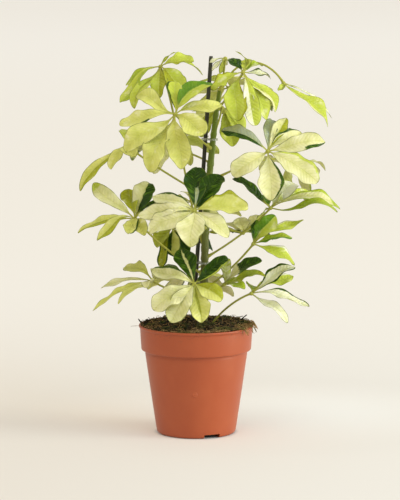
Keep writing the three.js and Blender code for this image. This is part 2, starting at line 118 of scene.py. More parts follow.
def plug(node, sockets):
    """A socket that is given a node, or a node's output, is linked to it. Any other value is set on
    it, a hex code as a colour. Of a node, the first output that is in use is taken."""
    for name, value in sockets.items():
        if isinstance(value, str):
            value = (*linear(value), 1.0)
        if isinstance(value, bpy.types.Node):
            value = next(output for output in value.outputs if output.enabled)
        if isinstance(value, bpy.types.NodeSocket):
            node.id_data.links.new(value, node.inputs[name])
        else:
            node.inputs[name].default_value = value


def add(tree, kind, sockets=None, **settings):
    """One node with its settings and its sockets."""
    made = tree.nodes.new("ShaderNode" + kind)
    for name, value in settings.items():
        setattr(made, name, value)
    plug(made, sockets or {})
    return made


def new_finish(name, **sockets):
    """A material with one Principled shader, whose plain values are set on its own sockets."""
    finish = bpy.data.materials.new(name)
    finish.use_nodes = True
    shader = finish.node_tree.nodes["Principled BSDF"]
    plug(shader, {socket.replace("_", " "): value for socket, value in sockets.items()})
    return finish, finish.node_tree, shader


print("terracotta in linear light:", linear("#B5613C").round(3))

# %% [markdown]
# ## Skins
#
# Nearly every piece here is a closed skin: rings of points, one behind the other, and a single
# point, the pole, that closes each end. A turned pot, a stem, a stalk and even a leaflet are such
# skins. They differ only in how the rings are worked out. The signed volume tells whether the
# faces point outwards, and if they don't, their corners are listed the other way round.


# %% Skin and piece helpers
def skin(rings, poles, **layers):
    """Squares join each ring (rings, around, 3) to the next, a fan of triangles closes each end.
    Signed volume: a sixth of the sum of a . (b x c) over the triangles. A layer holds a value or a
    colour for each point, and a pole takes the mean of its ring's."""
    count, around = rings.shape[:2]
    index = np.arange(count * around).reshape(count, around)
    after = np.roll(index, -1, axis=1)
    squares = np.stack([index[:-1], index[1:], after[1:], after[:-1]], -1).reshape(-1, 4)
    pole = np.full(around, count * around)
    ends = [(pole, index[0], after[0]), (pole + 1, after[-1], index[-1])]
    fans = np.stack([np.stack(end, -1) for end in ends]).reshape(-1, 3)
    points = np.concatenate([rings.reshape(-1, 3), np.asarray(poles, float)])
    triangles = np.concatenate([squares[:, :3], squares[:, [0, 2, 3]], fans])
    a, b, c = points[triangles].transpose(1, 0, 2)
    if np.einsum("ij,ij->", a, np.cross(b, c)) < 0:
        squares, fans = squares[:, ::-1], fans[:, ::-1]
    made = {"points": points, "squares": squares, "fans": fans, "layers": {}}
    for name, values in layers.items():
        values = np.broadcast_to(values, (count, around) + np.shape(values)[2:])
        flat = values.reshape((count * around,) + values.shape[2:])
        at_poles = np.stack([values[0].mean(0), values[-1].mean(0)])
        made["layers"][name] = np.concatenate([flat, at_poles])
    return made


def angles(count):
    """Even angles round a full turn."""
    return np.arange(count) * 2 * np.pi / count


def level_rings(centre, radius, turn):
    """Level circles, x + r cos a and y + r sin a, each at its centre's own height."""
    x = centre[:, :1] + radius * np.cos(turn)
    y = centre[:, 1:2] + radius * np.sin(turn)
    return np.stack([x, y, np.broadcast_to(centre[:, 2:], x.shape)], -1)


def spokes(first, second, turn):
    """The directions first cos a + second sin a, for directions that lie square to each other."""
    return first[..., None, :] * np.cos(turn)[:, None] + second[..., None, :] * np.sin(turn)[:, None]


def new_mesh(name, points, faces, **layers):
    """A mesh in metres of points in mm. Each layer, a value or a colour a point, is an attribute."""
    mesh = bpy.data.meshes.new(name)
    mesh.from_pydata((points.reshape(-1, 3) * MM).tolist(), [], faces)
    for layer, values in layers.items():
        if values.ndim == 2:
            values = np.c_[values, np.ones(len(values))].ravel()
            mesh.attributes.new(layer, "FLOAT_COLOR", "POINT").data.foreach_set("color", values)
        else:
            mesh.attributes.new(layer, "FLOAT", "POINT").data.foreach_set("value", values)
    return mesh


def make_mesh(name, skins):
    """One smooth mesh of several skins."""
    points = [each["points"] for each in skins]
    faces = []
    for start, each in zip(np.cumsum([0, *map(len, points)]), skins):
        faces += (each["squares"] + start).tolist() + (each["fans"] + start).tolist()
    names = skins[0]["layers"]
    layers = {key: np.concatenate([each["layers"][key] for each in skins]) for key in names}
    mesh = new_mesh(name, np.concatenate(points), faces, **layers)
    mesh.shade_smooth()
    return mesh


def make_piece(name, mesh, finish, slot, *nodes):
    """The mesh as an object at the origin that rides with the plant and stands for CAD nodes."""
    piece = placed(name, mesh)
    mesh.materials.clear()
    mesh.materials.append(finish)
    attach(piece, "root")
    if nodes:
        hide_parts(*nodes)
    print(f"{name}: {len(mesh.loops) - 2 * len(mesh.polygons)} triangles")


# %% [markdown]
# ## The pot
#
# A 12 cm nursery pot, injection moulded in thin polypropylene. Its form is one profile turned
# about the upright axis: foot, sloping wall, a shallow groove, the band and the small lip. A few
# extra points in each corner give the soft moulded edges that catch the light.

# %% Turn the pot
FOOT_RADIUS, BAND_RADIUS, BAND_FOOT = 41.4, 54, 88  # the wall's radii, the band's height
WALL, FLOOR = 1.2, 1.5
POT_SIDES = 192


def turned(profile, sides):
    """Each profile point (radius, height) becomes a circle about the upright axis. The first and last
    points lie on the axis and are the poles."""
    radius, height = np.array(profile, float).T
    axis = np.stack([0 * height, 0 * height, height], -1)
    return skin(level_rings(axis[1:-1], radius[1:-1, None], angles(sides)), axis[[0, -1]])


outside = [
    (0, 0), (37.6, 0), (39.2, 0.15), (40.4, 0.8), (41.1, 1.8), (41.45, 3.0), (42.2, 7),
    (46.1, 33), (47.77, 44.5), (48.78, 51.5), (50.0, 60), (53.35, 83.6), (53.3, 85.0), (53.1, 86.6),
    (53.5, 87.4), (54.5, 87.7), (56.2, 87.8), (57.0, 88.15), (57.35, 88.8), (57.45, 89.8),
    (58.1, 99), (58.6, 109.0), (58.55, 110.2), (58.75, 110.9), (59.5, 111.3), (59.9, 112.0),
    (60, 112.8), (59.85, 113.5), (59.4, 113.9), (58.7, 114.05), (58.2, 113.9), (57.75, 113.3),
    (0, 113.3),
]  # fmt: skip
cavity = [
    (0, FLOOR), (37.4, FLOOR), (38.6, 2.0), (39.6, 3.4), (45.6, 40), (52.6, 87),
    (53.0, 88.4), (55.7, 89.8), (56.05, 91.0), (57.3, 109), (57.65, 116), (0, 116),
]  # fmt: skip
body, hollow = turned(outside, POT_SIDES), turned(cavity, POT_SIDES)
print("pot profile points:", len(outside), "round the wall, circles of", POT_SIDES)

# %% [markdown]
# The underside has three raised channels that drain the water. Each has one round hole, and one of
# them shows as the small dark mouth at the foot, to the right. They are cut with exact Booleans,
# which are applied at once, so the finished pot is one plain mesh. The round mark on the front,
# where the plastic entered the mould, is a low button joined to the wall.

# %% Cut the drain channels and add the mould mark
CHANNELS, FIRST_ANGLE = 3, -66  # degrees
CHANNEL_WIDTH, CHANNEL_HEIGHT, CHANNEL_START = 17.5, 4.2, 14
RIDGE_END, CHANNEL_END = 70, 75  # past the wall, so that the cuts go right through it
DRAIN_RADIUS, DRAIN_AT = 4, 28
MARK_X, MARK_HEIGHT = -1.3, 48
SHARP = np.radians(40)  # a fold that is greater than this stays a sharp edge


def tool(name, made):
    """A throw-away object that cuts or is joined."""
    return placed(name, make_mesh(name, [made]))


def carve(target, tools, operation):
    """Works each tool into the target with an exact Boolean, applies it and removes the tool."""
    for each in tools:
        step = target.modifiers.new("carve", "BOOLEAN")
        step.operation = operation
        step.object = each
        step.solver = "EXACT"
    graph = bpy.context.evaluated_depsgraph_get()
    result = bpy.data.meshes.new_from_object(target.evaluated_get(graph))
    target.modifiers.clear()
    target.data = result
    for each in tools:
        bpy.data.objects.remove(each)


def finished(shape):
    """The carved mesh, smooth except over sharp edges. The object that held it goes."""
    mesh = shape.data
    mesh.shade_smooth()
    mesh.set_sharp_from_angle(angle=SHARP)
    bpy.data.objects.remove(shape)
    return mesh


def beam(x_low, x_high, half_width, z_low, z_high, degrees):
    """A box along a direction that is turned about the upright axis: two rings of four corners."""
    y = half_width * np.array([-1, 1, 1, -1])
    z = np.array([z_low, z_low, z_high, z_high])
    rings = np.array([np.stack([np.full(4, x), y, z], -1) for x in (x_low, x_high)])
    middle = (z_low + z_high) / 2
    made = skin(rings, [(x_low, 0, middle), (x_high, 0, middle)])
    c, s = np.cos(np.radians(degrees)), np.sin(np.radians(degrees))
    made["points"] = made["points"] @ np.array([[c, s, 0], [-s, c, 0], [0, 0, 1]])
    return made


def moved(made, offset):
    """The same skin in another place."""
    return {**made, "points": made["points"] + np.array(offset, float)}


pot, room = tool("pot_body", body), tool("pot_room", hollow)
roof, half = CHANNEL_HEIGHT + FLOOR, CHANNEL_WIDTH / 2
turns = [FIRST_ANGLE + 360 / CHANNELS * index for index in range(CHANNELS)]
ridges = [beam(CHANNEL_START - WALL, RIDGE_END, half + WALL, -1, roof, turn) for turn in turns]
carve(room, [tool("ridge", ridge) for ridge in ridges], "DIFFERENCE")
channels = [beam(CHANNEL_START, CHANNEL_END, half, -2, CHANNEL_HEIGHT, turn) for turn in turns]
cuts = [tool("channel", channel) for channel in channels]
drill = turned([(0, -3), (DRAIN_RADIUS, -3), (DRAIN_RADIUS, 9), (0, 9)], 32)
for turn in turns:
    place = DRAIN_AT * np.array([np.cos(np.radians(turn)), np.sin(np.radians(turn)), 0])
    cuts.append(tool("drain_hole", moved(drill, place)))
carve(pot, [room, *cuts], "DIFFERENCE")

button_side = [(0, -0.9), (2.5, -0.9), (2.65, 0.08), (2.5, 0.26), (2.2, 0.34)]
button_face = [(1.5, 0.25), (0.5, 0.25), (0.3, 0.36), (0, 0.36)]
button = turned(button_side + button_face, 48)
wall_here = FOOT_RADIUS + (BAND_RADIUS - FOOT_RADIUS) * MARK_HEIGHT / BAND_FOOT
facing = np.array([[1, 0, 0], [0, 0, 1], [0, -1, 0]])  # the button's axis points to the viewer
mark = {**button, "points": button["points"] @ facing + [MARK_X, -wall_here, MARK_HEIGHT]}
carve(pot, [tool("mould_mark", mark)], "UNION")
pot_mesh = finished(pot)
print("pot:", len(pot_mesh.polygons), "faces, wall", WALL, "mm")

# %% [markdown]
# ## Terracotta-coloured polypropylene
#
# Polypropylene is a soft, slightly waxy plastic. Its sheen is broad, about 0.4 rough, and its
# index of refraction is 1.49. The pigment is not quite even: it flows in wide faint swirls about
# 30 mm across. The mould leaves a very fine grain of about 0.4 mm, drawn here as a low bump. Fine
# peat dust clings to the band near the rim.

# %% Pot finish
SWIRL, DUST, GRAIN = 0.030, 0.0022, 0.0004  # metres
DUST_FROM, DUST_TO = 0.098, 0.114  # metres up, where dust begins and where it is thickest
pot_plastic, tree, shader = new_finish("moulded_polypropylene", IOR=1.49)
place = add(tree, "TexCoord").outputs["Object"]
swirl = add(tree, "TexNoise", {"Vector": place, "Scale": 1 / SWIRL, "Detail": 3, "Distortion": 0.6})
pigment = add(tree, "Mix", {0: swirl, 6: "#A24721", 7: "#AE552C"}, **COLOURS)
height = add(tree, "SeparateXYZ", {0: place}).outputs["Z"]
near_rim = add(tree, "MapRange", {0: height, 1: DUST_FROM, 2: DUST_TO})
speck = add(tree, "TexNoise", {"Vector": place, "Scale": 1 / DUST, "Detail": 2})
dust = add(tree, "MapRange", {0: speck, 1: 0.56, 2: 0.72, 4: 0.5})
dusty = add(tree, "Math", {0: near_rim, 1: dust}, **TIMES)
grain = add(tree, "TexNoise", {"Vector": place, "Scale": 1 / GRAIN, "Detail": 1})
colour = add(tree, "Mix", {0: dusty, 6: pigment, 7: "#5E4028"}, **COLOURS)
sheen = add(tree, "MapRange", {0: swirl, 3: 0.36, 4: 0.46})
relief = add(tree, "Bump", {"Height": grain, "Strength": 0.12, "Distance": 0.0001})
plug(shader, {"Base Color": colour, "Roughness": sheen, "Normal": relief})
make_piece("pot_shell", pot_mesh, pot_plastic, "pot_plastic", "pot")

# %% [markdown]
# ## The peat
#
# The pot is filled to its rim with peat. Real peat has millions of grains, but three layers look
# the same from a step away: a lumpy filling, about 2400 angular crumbs of 20 faces each, and thin
# curved fibres, of which a tuft spills over the right side of the rim.

# %% Peat filling
SOIL_EDGE, SOIL_CROWN, SOIL_RADIUS = 112.6, 115.4, 57.0
SURFACE_RINGS, SOIL_SIDES = 60, 144
LUMP_HEIGHT, LUMPS_HELD = 1.5, 12  # mm, and how far in from the wall the lumps are held down
RIPPLE_RATES, RIPPLE_HEIGHTS = (0.35, 0.8, 1.7), (0.22, 0.16, 0.10)  # per mm, mm
RIPPLES_EACH = 8
LINING_RADII = [56.6, 52.2, 37.0, 36.0]  # the rings below the surface lie along the pot's inside
LINING_HEIGHTS = [[110], [88], [2.4], [1.9]]
draw = np.random.default_rng(7)
ripples = len(RIPPLE_RATES) * RIPPLES_EACH
ripple_ways = draw.normal(0, 1, (ripples, 2)) * np.repeat(RIPPLE_RATES, RIPPLES_EACH)[:, None]
ripple_phases = draw.uniform(0, 2 * np.pi, ripples)
ripple_heights = np.repeat(RIPPLE_HEIGHTS, RIPPLES_EACH)


def peat_height(x, y):
    """A low crown, edge + (crown - edge)(1 - r^2 / R^2), with broad lumps and random ripples."""
    r = np.hypot(x, y)
    crown = SOIL_EDGE + (SOIL_CROWN - SOIL_EDGE) * (1 - (r / SOIL_RADIUS) ** 2)
    lump = np.sin(x * 0.31 + 1.3) * np.cos(y * 0.27) + 0.6 * np.sin(x * 0.13 - y * 0.41)
    free = np.clip((SOIL_RADIUS + 4 - r) / LUMPS_HELD, 0, 1)
    phases = x[..., None] * ripple_ways[:, 0] + y[..., None] * ripple_ways[:, 1] + ripple_phases
    return crown + LUMP_HEIGHT * free * lump + (np.sin(phases) * ripple_heights).sum(-1)


radius = np.append(np.linspace(0.8, SOIL_RADIUS, SURFACE_RINGS), LINING_RADII)[:, None]
rings = level_rings(np.zeros((len(radius), 3)), radius, angles(SOIL_SIDES))
surface, lining = rings[:SURFACE_RINGS], rings[SURFACE_RINGS:]
surface[..., 2] = peat_height(surface[..., 0], surface[..., 1])
lining[..., 2] = LINING_HEIGHTS
middle = peat_height(np.zeros(1), np.zeros(1))[0]
filling = skin(rings, [(0, 0, middle), (0, 0, LINING_HEIGHTS[-1][0])])
print("peat surface, mm:", surface[..., 2].min().round(1), "to", surface[..., 2].max().round(1))

# %% Crumbs
CRUMBS, CRUMB_REACH, RIM_CRUMBS = 2300, 56.6, 130
RIM_SECTOR = (-75, 40, 55.5, 59.4)  # degrees, then radii, of the crumbs that lie on the rim
CRUMB_SIZES, RIM_SHARE, SPREAD = (0.45, 2.6), 0.55, 0.45  # SPREAD is that of the logarithm
CRUMB_JITTER, CRUMB_SQUASH, CRUMB_SEAT = (0.65, 1.2), (0.6, 1.3), 0.25
GOLDEN = (1 + 5**0.5) / 2
LIP_RADIUS, LIP_TOP, LIP_INSIDE, LIP_FALL = 60.2, 114.3, 57.2, 1.6
corners = np.array([(0, a, b * GOLDEN) for a in (-1, 1) for b in (-1, 1)], float)
corners = np.concatenate([np.roll(corners, turn, 1) for turn in range(3)]) / np.hypot(1, GOLDEN)
near = np.linalg.norm(corners[:, None] - corners[None], axis=2) < 1.2  # an edge is 1.05 long
sets = [(i, j, k) for i in range(12) for j in range(i + 1, 12) for k in range(j + 1, 12)]
faces = np.array([s for s in sets if near[s[0], s[1]] and near[s[1], s[2]] and near[s[0], s[2]]])
a, b, c = corners[faces].transpose(1, 0, 2)
outward = np.einsum("ij,ij->i", a, np.cross(b, c)) > 0
faces = np.where(outward[:, None], faces, faces[:, ::-1])


def scattered(count, low_angle, high_angle, inner, outer):
    """Points spread evenly over a ring sector: r = sqrt of a draw between the squared radii."""
    turn = np.radians(draw.uniform(low_angle, high_angle, count))
    r = np.sqrt(draw.uniform(inner**2, outer**2, count))
    return r * np.cos(turn), r * np.sin(turn)


def resting_height(x, y):
    """The height that a loose bit rests on: peat inside, the lip above it, then a fall outside."""
    r = np.hypot(x, y)
    outside_lip = LIP_TOP - LIP_FALL * np.clip(r - LIP_RADIUS, 0, None)
    return np.where(r < LIP_INSIDE, peat_height(x, y), outside_lip)


def many_crumbs(x, y, size):
    """One rough icosahedron per place: each corner is drawn in or out, and the whole is squashed."""
    count = len(x)
    jitter = draw.uniform(*CRUMB_JITTER, (count, 12, 1))
    squash = draw.uniform(*CRUMB_SQUASH, (count, 1, 3))
    spin = np.linalg.qr(draw.normal(size=(count, 3, 3)))[0]
    spin *= np.sign(np.linalg.det(spin))[:, None, None]
    shape = np.einsum("nij,nkj->nki", spin, corners * jitter * squash) * size[:, None, None]
    seat = np.stack([x, y, resting_height(x, y) + CRUMB_SEAT * size], -1)
    return shape + seat[:, None]


x, y = scattered(CRUMBS, 0, 360, 0, CRUMB_REACH)
x_rim, y_rim = scattered(RIM_CRUMBS, *RIM_SECTOR)
x, y = np.append(x, x_rim), np.append(y, y_rim)
size = np.clip(draw.lognormal(0.0, SPREAD, len(x)), *CRUMB_SIZES)
size[CRUMBS:] *= RIM_SHARE
crumbs = many_crumbs(x, y, size)
crumb_faces = (faces + 12 * np.arange(len(x))[:, None, None]).reshape(-1, 3).tolist()
shade = np.repeat(draw.uniform(0, 1, len(x)), 12)
crumb_mesh = new_mesh("peat_crumbs", crumbs, crumb_faces, shade=shade)
print("crumbs:", len(x), "of", len(faces), "faces each")

# %% [markdown]
# A fibre is a very thin three-sided tube along a flat arc that follows the peat. They are all
# worked out together: the arrays have one row for each fibre and one column for each of its
# stations. Eight thicker twigs, placed one by one, stick out at the rim.

# %% Fibres and twigs
STATIONS = 7
FIBRE_RADII, FIBRE_LENGTHS, FIBRE_RISE = (0.13, 0.32), (2.5, 22), (0.2, 2.4)
FIBRE_GROUPS = (  # count, angles, radii, usual length, bend, farthest from the axis, least paleness
    (1300, 0, 360, 0, 57, 7.4, 1.1, 58.0, 0.0),
    (430, -118, -20, 47, 57.5, 5.0, 1.8, 58.8, 0.3),
    (330, -38, 16, 50, 61, 5.0, 2.4, 64.5, 0.45),
)
TWIGS = (  # start, middle and end of its curve, radius, paleness
    ((-56, -6, 114.0), (-58, -6.5, 117.5), (-60.5, -7, 121.0), 0.75, 0.05),
    ((-57, -14, 114.5), (-63, -15, 114.8), (-68.5, -15.5, 114.2), 0.22, 0.6),
    ((-54, -3, 114.5), (-55.5, -5, 117.0), (-58.0, -6, 118.2), 0.5, 0.0),
    ((47, 22, 115.0), (50, 19, 118.5), (53.5, 17, 121.5), 0.7, 0.05),
    ((41, 30, 115.0), (45, 27, 117.5), (50, 25, 118.6), 0.5, 0.1),
    ((-30, -44, 114.0), (-22, -48, 116.5), (-14, -50, 116.0), 0.55, 0.2),
    ((12, -48, 115.0), (20, -46, 117.0), (27, -42, 115.4), 0.5, 0.5),
    ((30, -40, 115.5), (37, -38, 117.5), (44, -34, 115.2), 0.45, 0.3),
)


def many_tubes(path, thick):
    """Three-sided tubes: around each path point three corners at 120 degrees, across the path's
    direction. The last station shrinks to a fifth."""
    stations = path.shape[1]
    along = np.gradient(path, axis=1)
    along /= np.linalg.norm(along, axis=2, keepdims=True) + 1e-9
    level = np.cross(along, (0.0, 0.0, 1.0))
    level /= np.linalg.norm(level, axis=2, keepdims=True) + 1e-9
    slim = thick[:, None] * np.where(np.arange(stations) == stations - 1, 0.2, 1.0)
    corners = spokes(level, np.cross(level, along), angles(3))
    return path[:, :, None] + corners * slim[:, :, None, None]


def tube_faces(count, stations):
    """Squares between the stations and a triangle at each end, for every tube."""
    index = np.arange(stations * 3).reshape(stations, 3)
    after = np.roll(index, -1, axis=1)
    squares = np.stack([index[:-1], after[:-1], after[1:], index[1:]], -1).reshape(-1, 4)
    ends = np.array([index[0][::-1], index[-1]])
    steps = (stations * 3 * np.arange(count))[:, None, None]
    return (squares + steps).reshape(-1, 4).tolist() + (ends + steps).reshape(-1, 3).tolist()


def fibre_paths(x, y, length, bend, farthest):
    """A flat arc: the heading turns evenly by `bend` along the length, and the height is that of what
    lies below, plus a hump."""
    count = len(x)
    s = np.linspace(0, 1, STATIONS)
    way = draw.uniform(0, 2 * np.pi, count)[:, None] + draw.normal(0, bend, count)[:, None] * s
    step = length[:, None] / (STATIONS - 1)
    px = x[:, None] + np.cumsum(np.cos(way) * step, axis=1)
    py = y[:, None] + np.cumsum(np.sin(way) * step, axis=1)
    held = np.minimum(1, farthest / np.maximum(np.hypot(px, py), 1))
    px, py = px * held, py * held
    rise = draw.uniform(*FIBRE_RISE, count)[:, None] * np.sin(np.pi * (0.15 + 0.85 * s))
    return np.stack([px, py, resting_height(px, py) + 0.3 + rise], -1)


paths, shades = [], []
for count, low, high, inner, outer, usual, bend, farthest, pale in FIBRE_GROUPS:
    x, y = scattered(count, low, high, inner, outer)
    length = np.clip(draw.lognormal(np.log(usual), SPREAD, count), *FIBRE_LENGTHS)
    paths.append(fibre_paths(x, y, length, bend, farthest))
    shades.append(draw.uniform(pale, 1, count))
thick = draw.uniform(*FIBRE_RADII, sum(len(group) for group in paths))
*curve, twig_thick, twig_shades = zip(*TWIGS)
start, middle, end = (np.array(points, float)[:, None] for points in curve)
s = np.linspace(0, 1, STATIONS)[:, None]
paths.append(start * (1 - s) ** 2 + middle * 2 * s * (1 - s) + end * s**2)
fibres = many_tubes(np.concatenate(paths), np.append(thick, twig_thick))
fibre_faces = tube_faces(len(fibres), STATIONS)
shade = np.repeat(np.concatenate([*shades, twig_shades]), STATIONS * 3)
fibre_mesh = new_mesh("peat_fibres", fibres, fibre_faces, shade=shade)
fibre_mesh.shade_smooth()
print("fibres:", len(thick), "and twigs:", len(TWIGS))

# %% [markdown]
# ## Moist peat
#
# Moist peat is nearly black and matt, with tan fibres and a little green moss. One recipe makes
# its three finishes: a dark and a lighter brown are mixed by a noise of 2 to 4 mm, and each crumb
# or fibre has its own shade, kept as an attribute of its points.


# %% Peat finishes
MOSS_PATCH = 0.012  # metres


def peat_finish(name, dark, light, moss, grain_mm):
    """Dark to light by noise times each bit's own shade, and moss in patches."""
    finish, tree, shader = new_finish(name, Roughness=0.92, IOR=1.45)
    place = add(tree, "TexCoord").outputs["Object"]
    noise = add(tree, "TexNoise", {"Vector": place, "Scale": 1000 / grain_mm, "Detail": 4})
    own = add(tree, "Attribute", attribute_name="shade").outputs["Fac"]
    product = add(tree, "Math", {0: own, 1: noise}, **TIMES)
    share = add(tree, "MapRange", {0: product, 1: 0.05, 2: 0.6})
    brown = add(tree, "Mix", {0: share, 6: dark, 7: light}, **COLOURS)
    patches = add(tree, "TexNoise", {"Vector": place, "Scale": 1 / MOSS_PATCH, "Detail": 2})
    mossy = add(tree, "MapRange", {0: patches, 1: 0.49, 2: 0.62, 4: 0.65})
    colour = add(tree, "Mix", {0: mossy, 6: brown, 7: moss}, **COLOURS)
    relief = add(tree, "Bump", {"Height": noise, "Strength": 0.8, "Distance": 0.0008})
    plug(shader, {"Base Color": colour, "Normal": relief})
    return finish


filling_peat = peat_finish("moist_peat", "#150F08", "#2E2114", "#1B200C", 3.0)
crumb_peat = peat_finish("peat_crumb", "#140D05", "#4E3B1A", "#26360A", 2.0)
fibre_peat = peat_finish("coir_fibre", "#2A1C0D", "#C8A066", "#4A5A18", 4.0)
make_piece("peat_filling", make_mesh("peat_filling", [filling]), filling_peat, "peat", "soil")
make_piece("peat_crumbs", crumb_mesh, crumb_peat, "peat")
make_piece("peat_fibres", fibre_mesh, fibre_peat, "peat")

# %% [markdown]
# ## The stem and the stake
#
# The stem is green wood, 9 mm thick at the peat and 4 mm at the top, and it follows the same few
# points as the CAD solid. It thickens a little where each leaf stalk starts. The stake is a
# straight stick. Both are skins of level rings, with their radius varied along the way.

# %% Curves that the plant follows
STEM_LINE = np.array([
    (8, 3, 40), (8, 3, 114), (8.6, 3, 165), (9.4, 3, 205),
    (11.5, 4, 245), (15.2, 5, 285), (19.6, 6, 325), (25, 6, 362),
])  # fmt: skip
STEM_RADII = np.array([4.4, 4.3, 4.0, 3.7, 3.5, 3.3, 2.8, 2.0])
STAKE_FOOT, STAKE_TOP, STAKE_RADIUS = np.array([-10.5, 8, 14]), np.array([15.4, 10, 393]), 2.1


def stem_at(height):
    """Centre and radius of the stem at some heights. Catmull-Rom: between two points the curve is the
    cubic whose slope at each of them is half the step between that point's neighbours."""
    height = np.atleast_1d(np.asarray(height, float))
    index = np.clip(np.searchsorted(STEM_LINE[:, 2], height) - 1, 0, len(STEM_LINE) - 2)
    span = STEM_LINE[index + 1, 2] - STEM_LINE[index, 2]
    f = np.clip((height - STEM_LINE[index, 2]) / span, 0, 1)[:, None]
    ends = 2 * STEM_LINE[[0, -1]] - STEM_LINE[[1, -2]]
    padded = np.concatenate([ends[:1], STEM_LINE, ends[1:]])
    a, b, c, d = (padded[index + k] for k in range(4))
    squared, cubed = 2 * a - 5 * b + 4 * c - d, 3 * b - a - 3 * c + d
    centre = 0.5 * (2 * b + (c - a) * f + squared * f**2 + cubed * f**3)
    radius = STEM_RADII[index] + (STEM_RADII[index + 1] - STEM_RADII[index]) * f[:, 0]
    return np.c_[centre[:, :2], height], radius


def smooth(low, high, value):
    """0 below low, 1 above high, and the cubic 3 s^2 - 2 s^3 between them."""
    s = np.clip((value - low) / (high - low), 0, 1)
    return s * s * (3 - 2 * s)


print("stem at 200 mm:", stem_at(200)[0].round(1), "radius", stem_at(200)[1].round(2))

# %% Stem
STEM_FOOT, STEM_TOP, STEM_RINGS, STEM_SIDES = 40, 362, 260, 28
JOINTS = (101, 128, 139, 147, 150, 157, 165, 183, 192, 194, 209)  # heights where leaf stalks start
JOINTS += (214, 224, 246, 259, 265, 281, 297, 312, 332, 338, 346)
SWELLING, SWELLING_LONG = 0.45, 2.2
SCAR_DEEP, SCAR_LONG, SCAR_BELOW = 0.22, 0.5, 2.6  # the last: from a joint down to its scar
STEM_CAP, STEM_ROUND = 0.4, 5  # from the last ring to the pole, and how long the rounded top is
height = np.linspace(STEM_FOOT + STEM_CAP, STEM_TOP - STEM_CAP, STEM_RINGS)[:, None]
centre, radius = stem_at(height[:, 0])
swelling = np.exp(-(((height - JOINTS) / SWELLING_LONG) ** 2)).max(1, keepdims=True)
scar = np.exp(-(((height - np.array(JOINTS) + SCAR_BELOW) / SCAR_LONG) ** 2)).max(1, keepdims=True)
angle = angles(STEM_SIDES)
ribs = 0.10 * np.sin(3 * angle + height / 31) + 0.05 * np.sin(7 * angle - height / 17)
radius = radius[:, None] + SWELLING * swelling - SCAR_DEEP * scar + ribs
radius *= np.sqrt(1 - 0.999 * smooth(STEM_TOP - STEM_ROUND, STEM_TOP - STEM_CAP, height) ** 2)
poles = stem_at([STEM_FOOT, STEM_TOP])[0]
bark = skin(level_rings(centre, radius, angle), poles, young=smooth(110, 330, height))
print("stem rings:", STEM_RINGS, "leaf joints:", len(JOINTS))

# %% Stake
STAKE_WAY, STAKE_RINGS, STAKE_SIDES = STAKE_TOP - STAKE_FOOT, 150, 20
STAKE_ROUND = 0.35  # how much thinner the ends are
s = np.linspace(0, 1, STAKE_RINGS)[:, None]
angle = angles(STAKE_SIDES)
flats = 0.06 * np.sin(5 * angle + 1.0) + 0.05 * np.sin(9 * angle + 4 * s)
radius = STAKE_RADIUS + flats - STAKE_ROUND * (smooth(0.9965, 1, s) + smooth(0.02, 0, s))
stick = skin(level_rings(STAKE_FOOT + STAKE_WAY * s, radius, angle), [STAKE_FOOT, STAKE_TOP])
print("stake:", round(float(np.linalg.norm(STAKE_WAY))), "mm long")

# %% [markdown]
# ## Green bark and a dyed stick
#
# The bark of a young stem is still green and slightly glossy, with fine length-wise streaks and
# pale pores up to 1 mm across. Low down it turns brown. The stick is split wood dyed nearly
# black-green: its grain runs along it, so the noise is stretched twenty times upwards.

# %% Stem and stake finishes
BARK_STREAK, PORES_APART, WOOD_GRAIN = 0.0012, 0.004, 0.0007  # metres
BARK_LONG, WOOD_LONG = (1, 1, 0.08), (1, 1, 0.05)  # a squeezed space stretches the streaks
green_bark, tree, shader = new_finish("green_bark", IOR=1.45, Roughness=0.45)
place = add(tree, "TexCoord").outputs["Object"]
lengthwise = add(tree, "Mapping", {"Vector": place, "Scale": BARK_LONG})
streak = add(tree, "TexNoise", {"Vector": lengthwise, "Scale": 1 / BARK_STREAK, "Detail": 3})
young = add(tree, "Attribute", attribute_name="young").outputs["Fac"]
woody = add(tree, "Mix", {0: streak, 6: "#4A4A16", 7: "#6E6B2C"}, **COLOURS)
fresh = add(tree, "Mix", {0: streak, 6: "#4E620A", 7: "#75881F"}, **COLOURS)
green = add(tree, "Mix", {0: young, 6: woody, 7: fresh}, **COLOURS)
pores = add(tree, "TexVoronoi", {"Vector": place, "Scale": 1 / PORES_APART})
pore = add(tree, "MapRange", {0: pores, 1: 0.1, 2: 0.17, 3: 0.5, 4: 0})
colour = add(tree, "Mix", {0: pore, 6: green, 7: "#B7AE78"}, **COLOURS)
relief = add(tree, "Bump", {"Height": streak, "Strength": 0.35, "Distance": 0.0003})
plug(shader, {"Base Color": colour, "Normal": relief})
make_piece("stem_bark", make_mesh("stem_bark", [bark]), green_bark, "green_stem", "stem")

dyed_wood, tree, shader = new_finish("dyed_split_wood", IOR=1.5, Roughness=0.62)
place = add(tree, "TexCoord").outputs["Object"]
lengthwise = add(tree, "Mapping", {"Vector": place, "Scale": WOOD_LONG})
streak = add(tree, "TexNoise", {"Vector": lengthwise, "Scale": 1 / WOOD_GRAIN, "Detail": 4})
colour = add(tree, "Mix", {0: streak, 6: "#1C1C14", 7: "#434232"}, **COLOURS)
relief = add(tree, "Bump", {"Height": streak, "Strength": 0.5, "Distance": 0.0003})
plug(shader, {"Base Color": colour, "Normal": relief})
make_piece("support_stick", make_mesh("support_stick", [stick]), dyed_wood, "stake_wood", "stake")

# %% [markdown]
# ## The clips
#
# Two small clips of clear plastic hold the stem to the stick. Each is a flat band with two round
# holes. Two short turned drums with softened edges are joined, and then the holes are cut, so that
# no wall is left inside the clear plastic, where it would show.

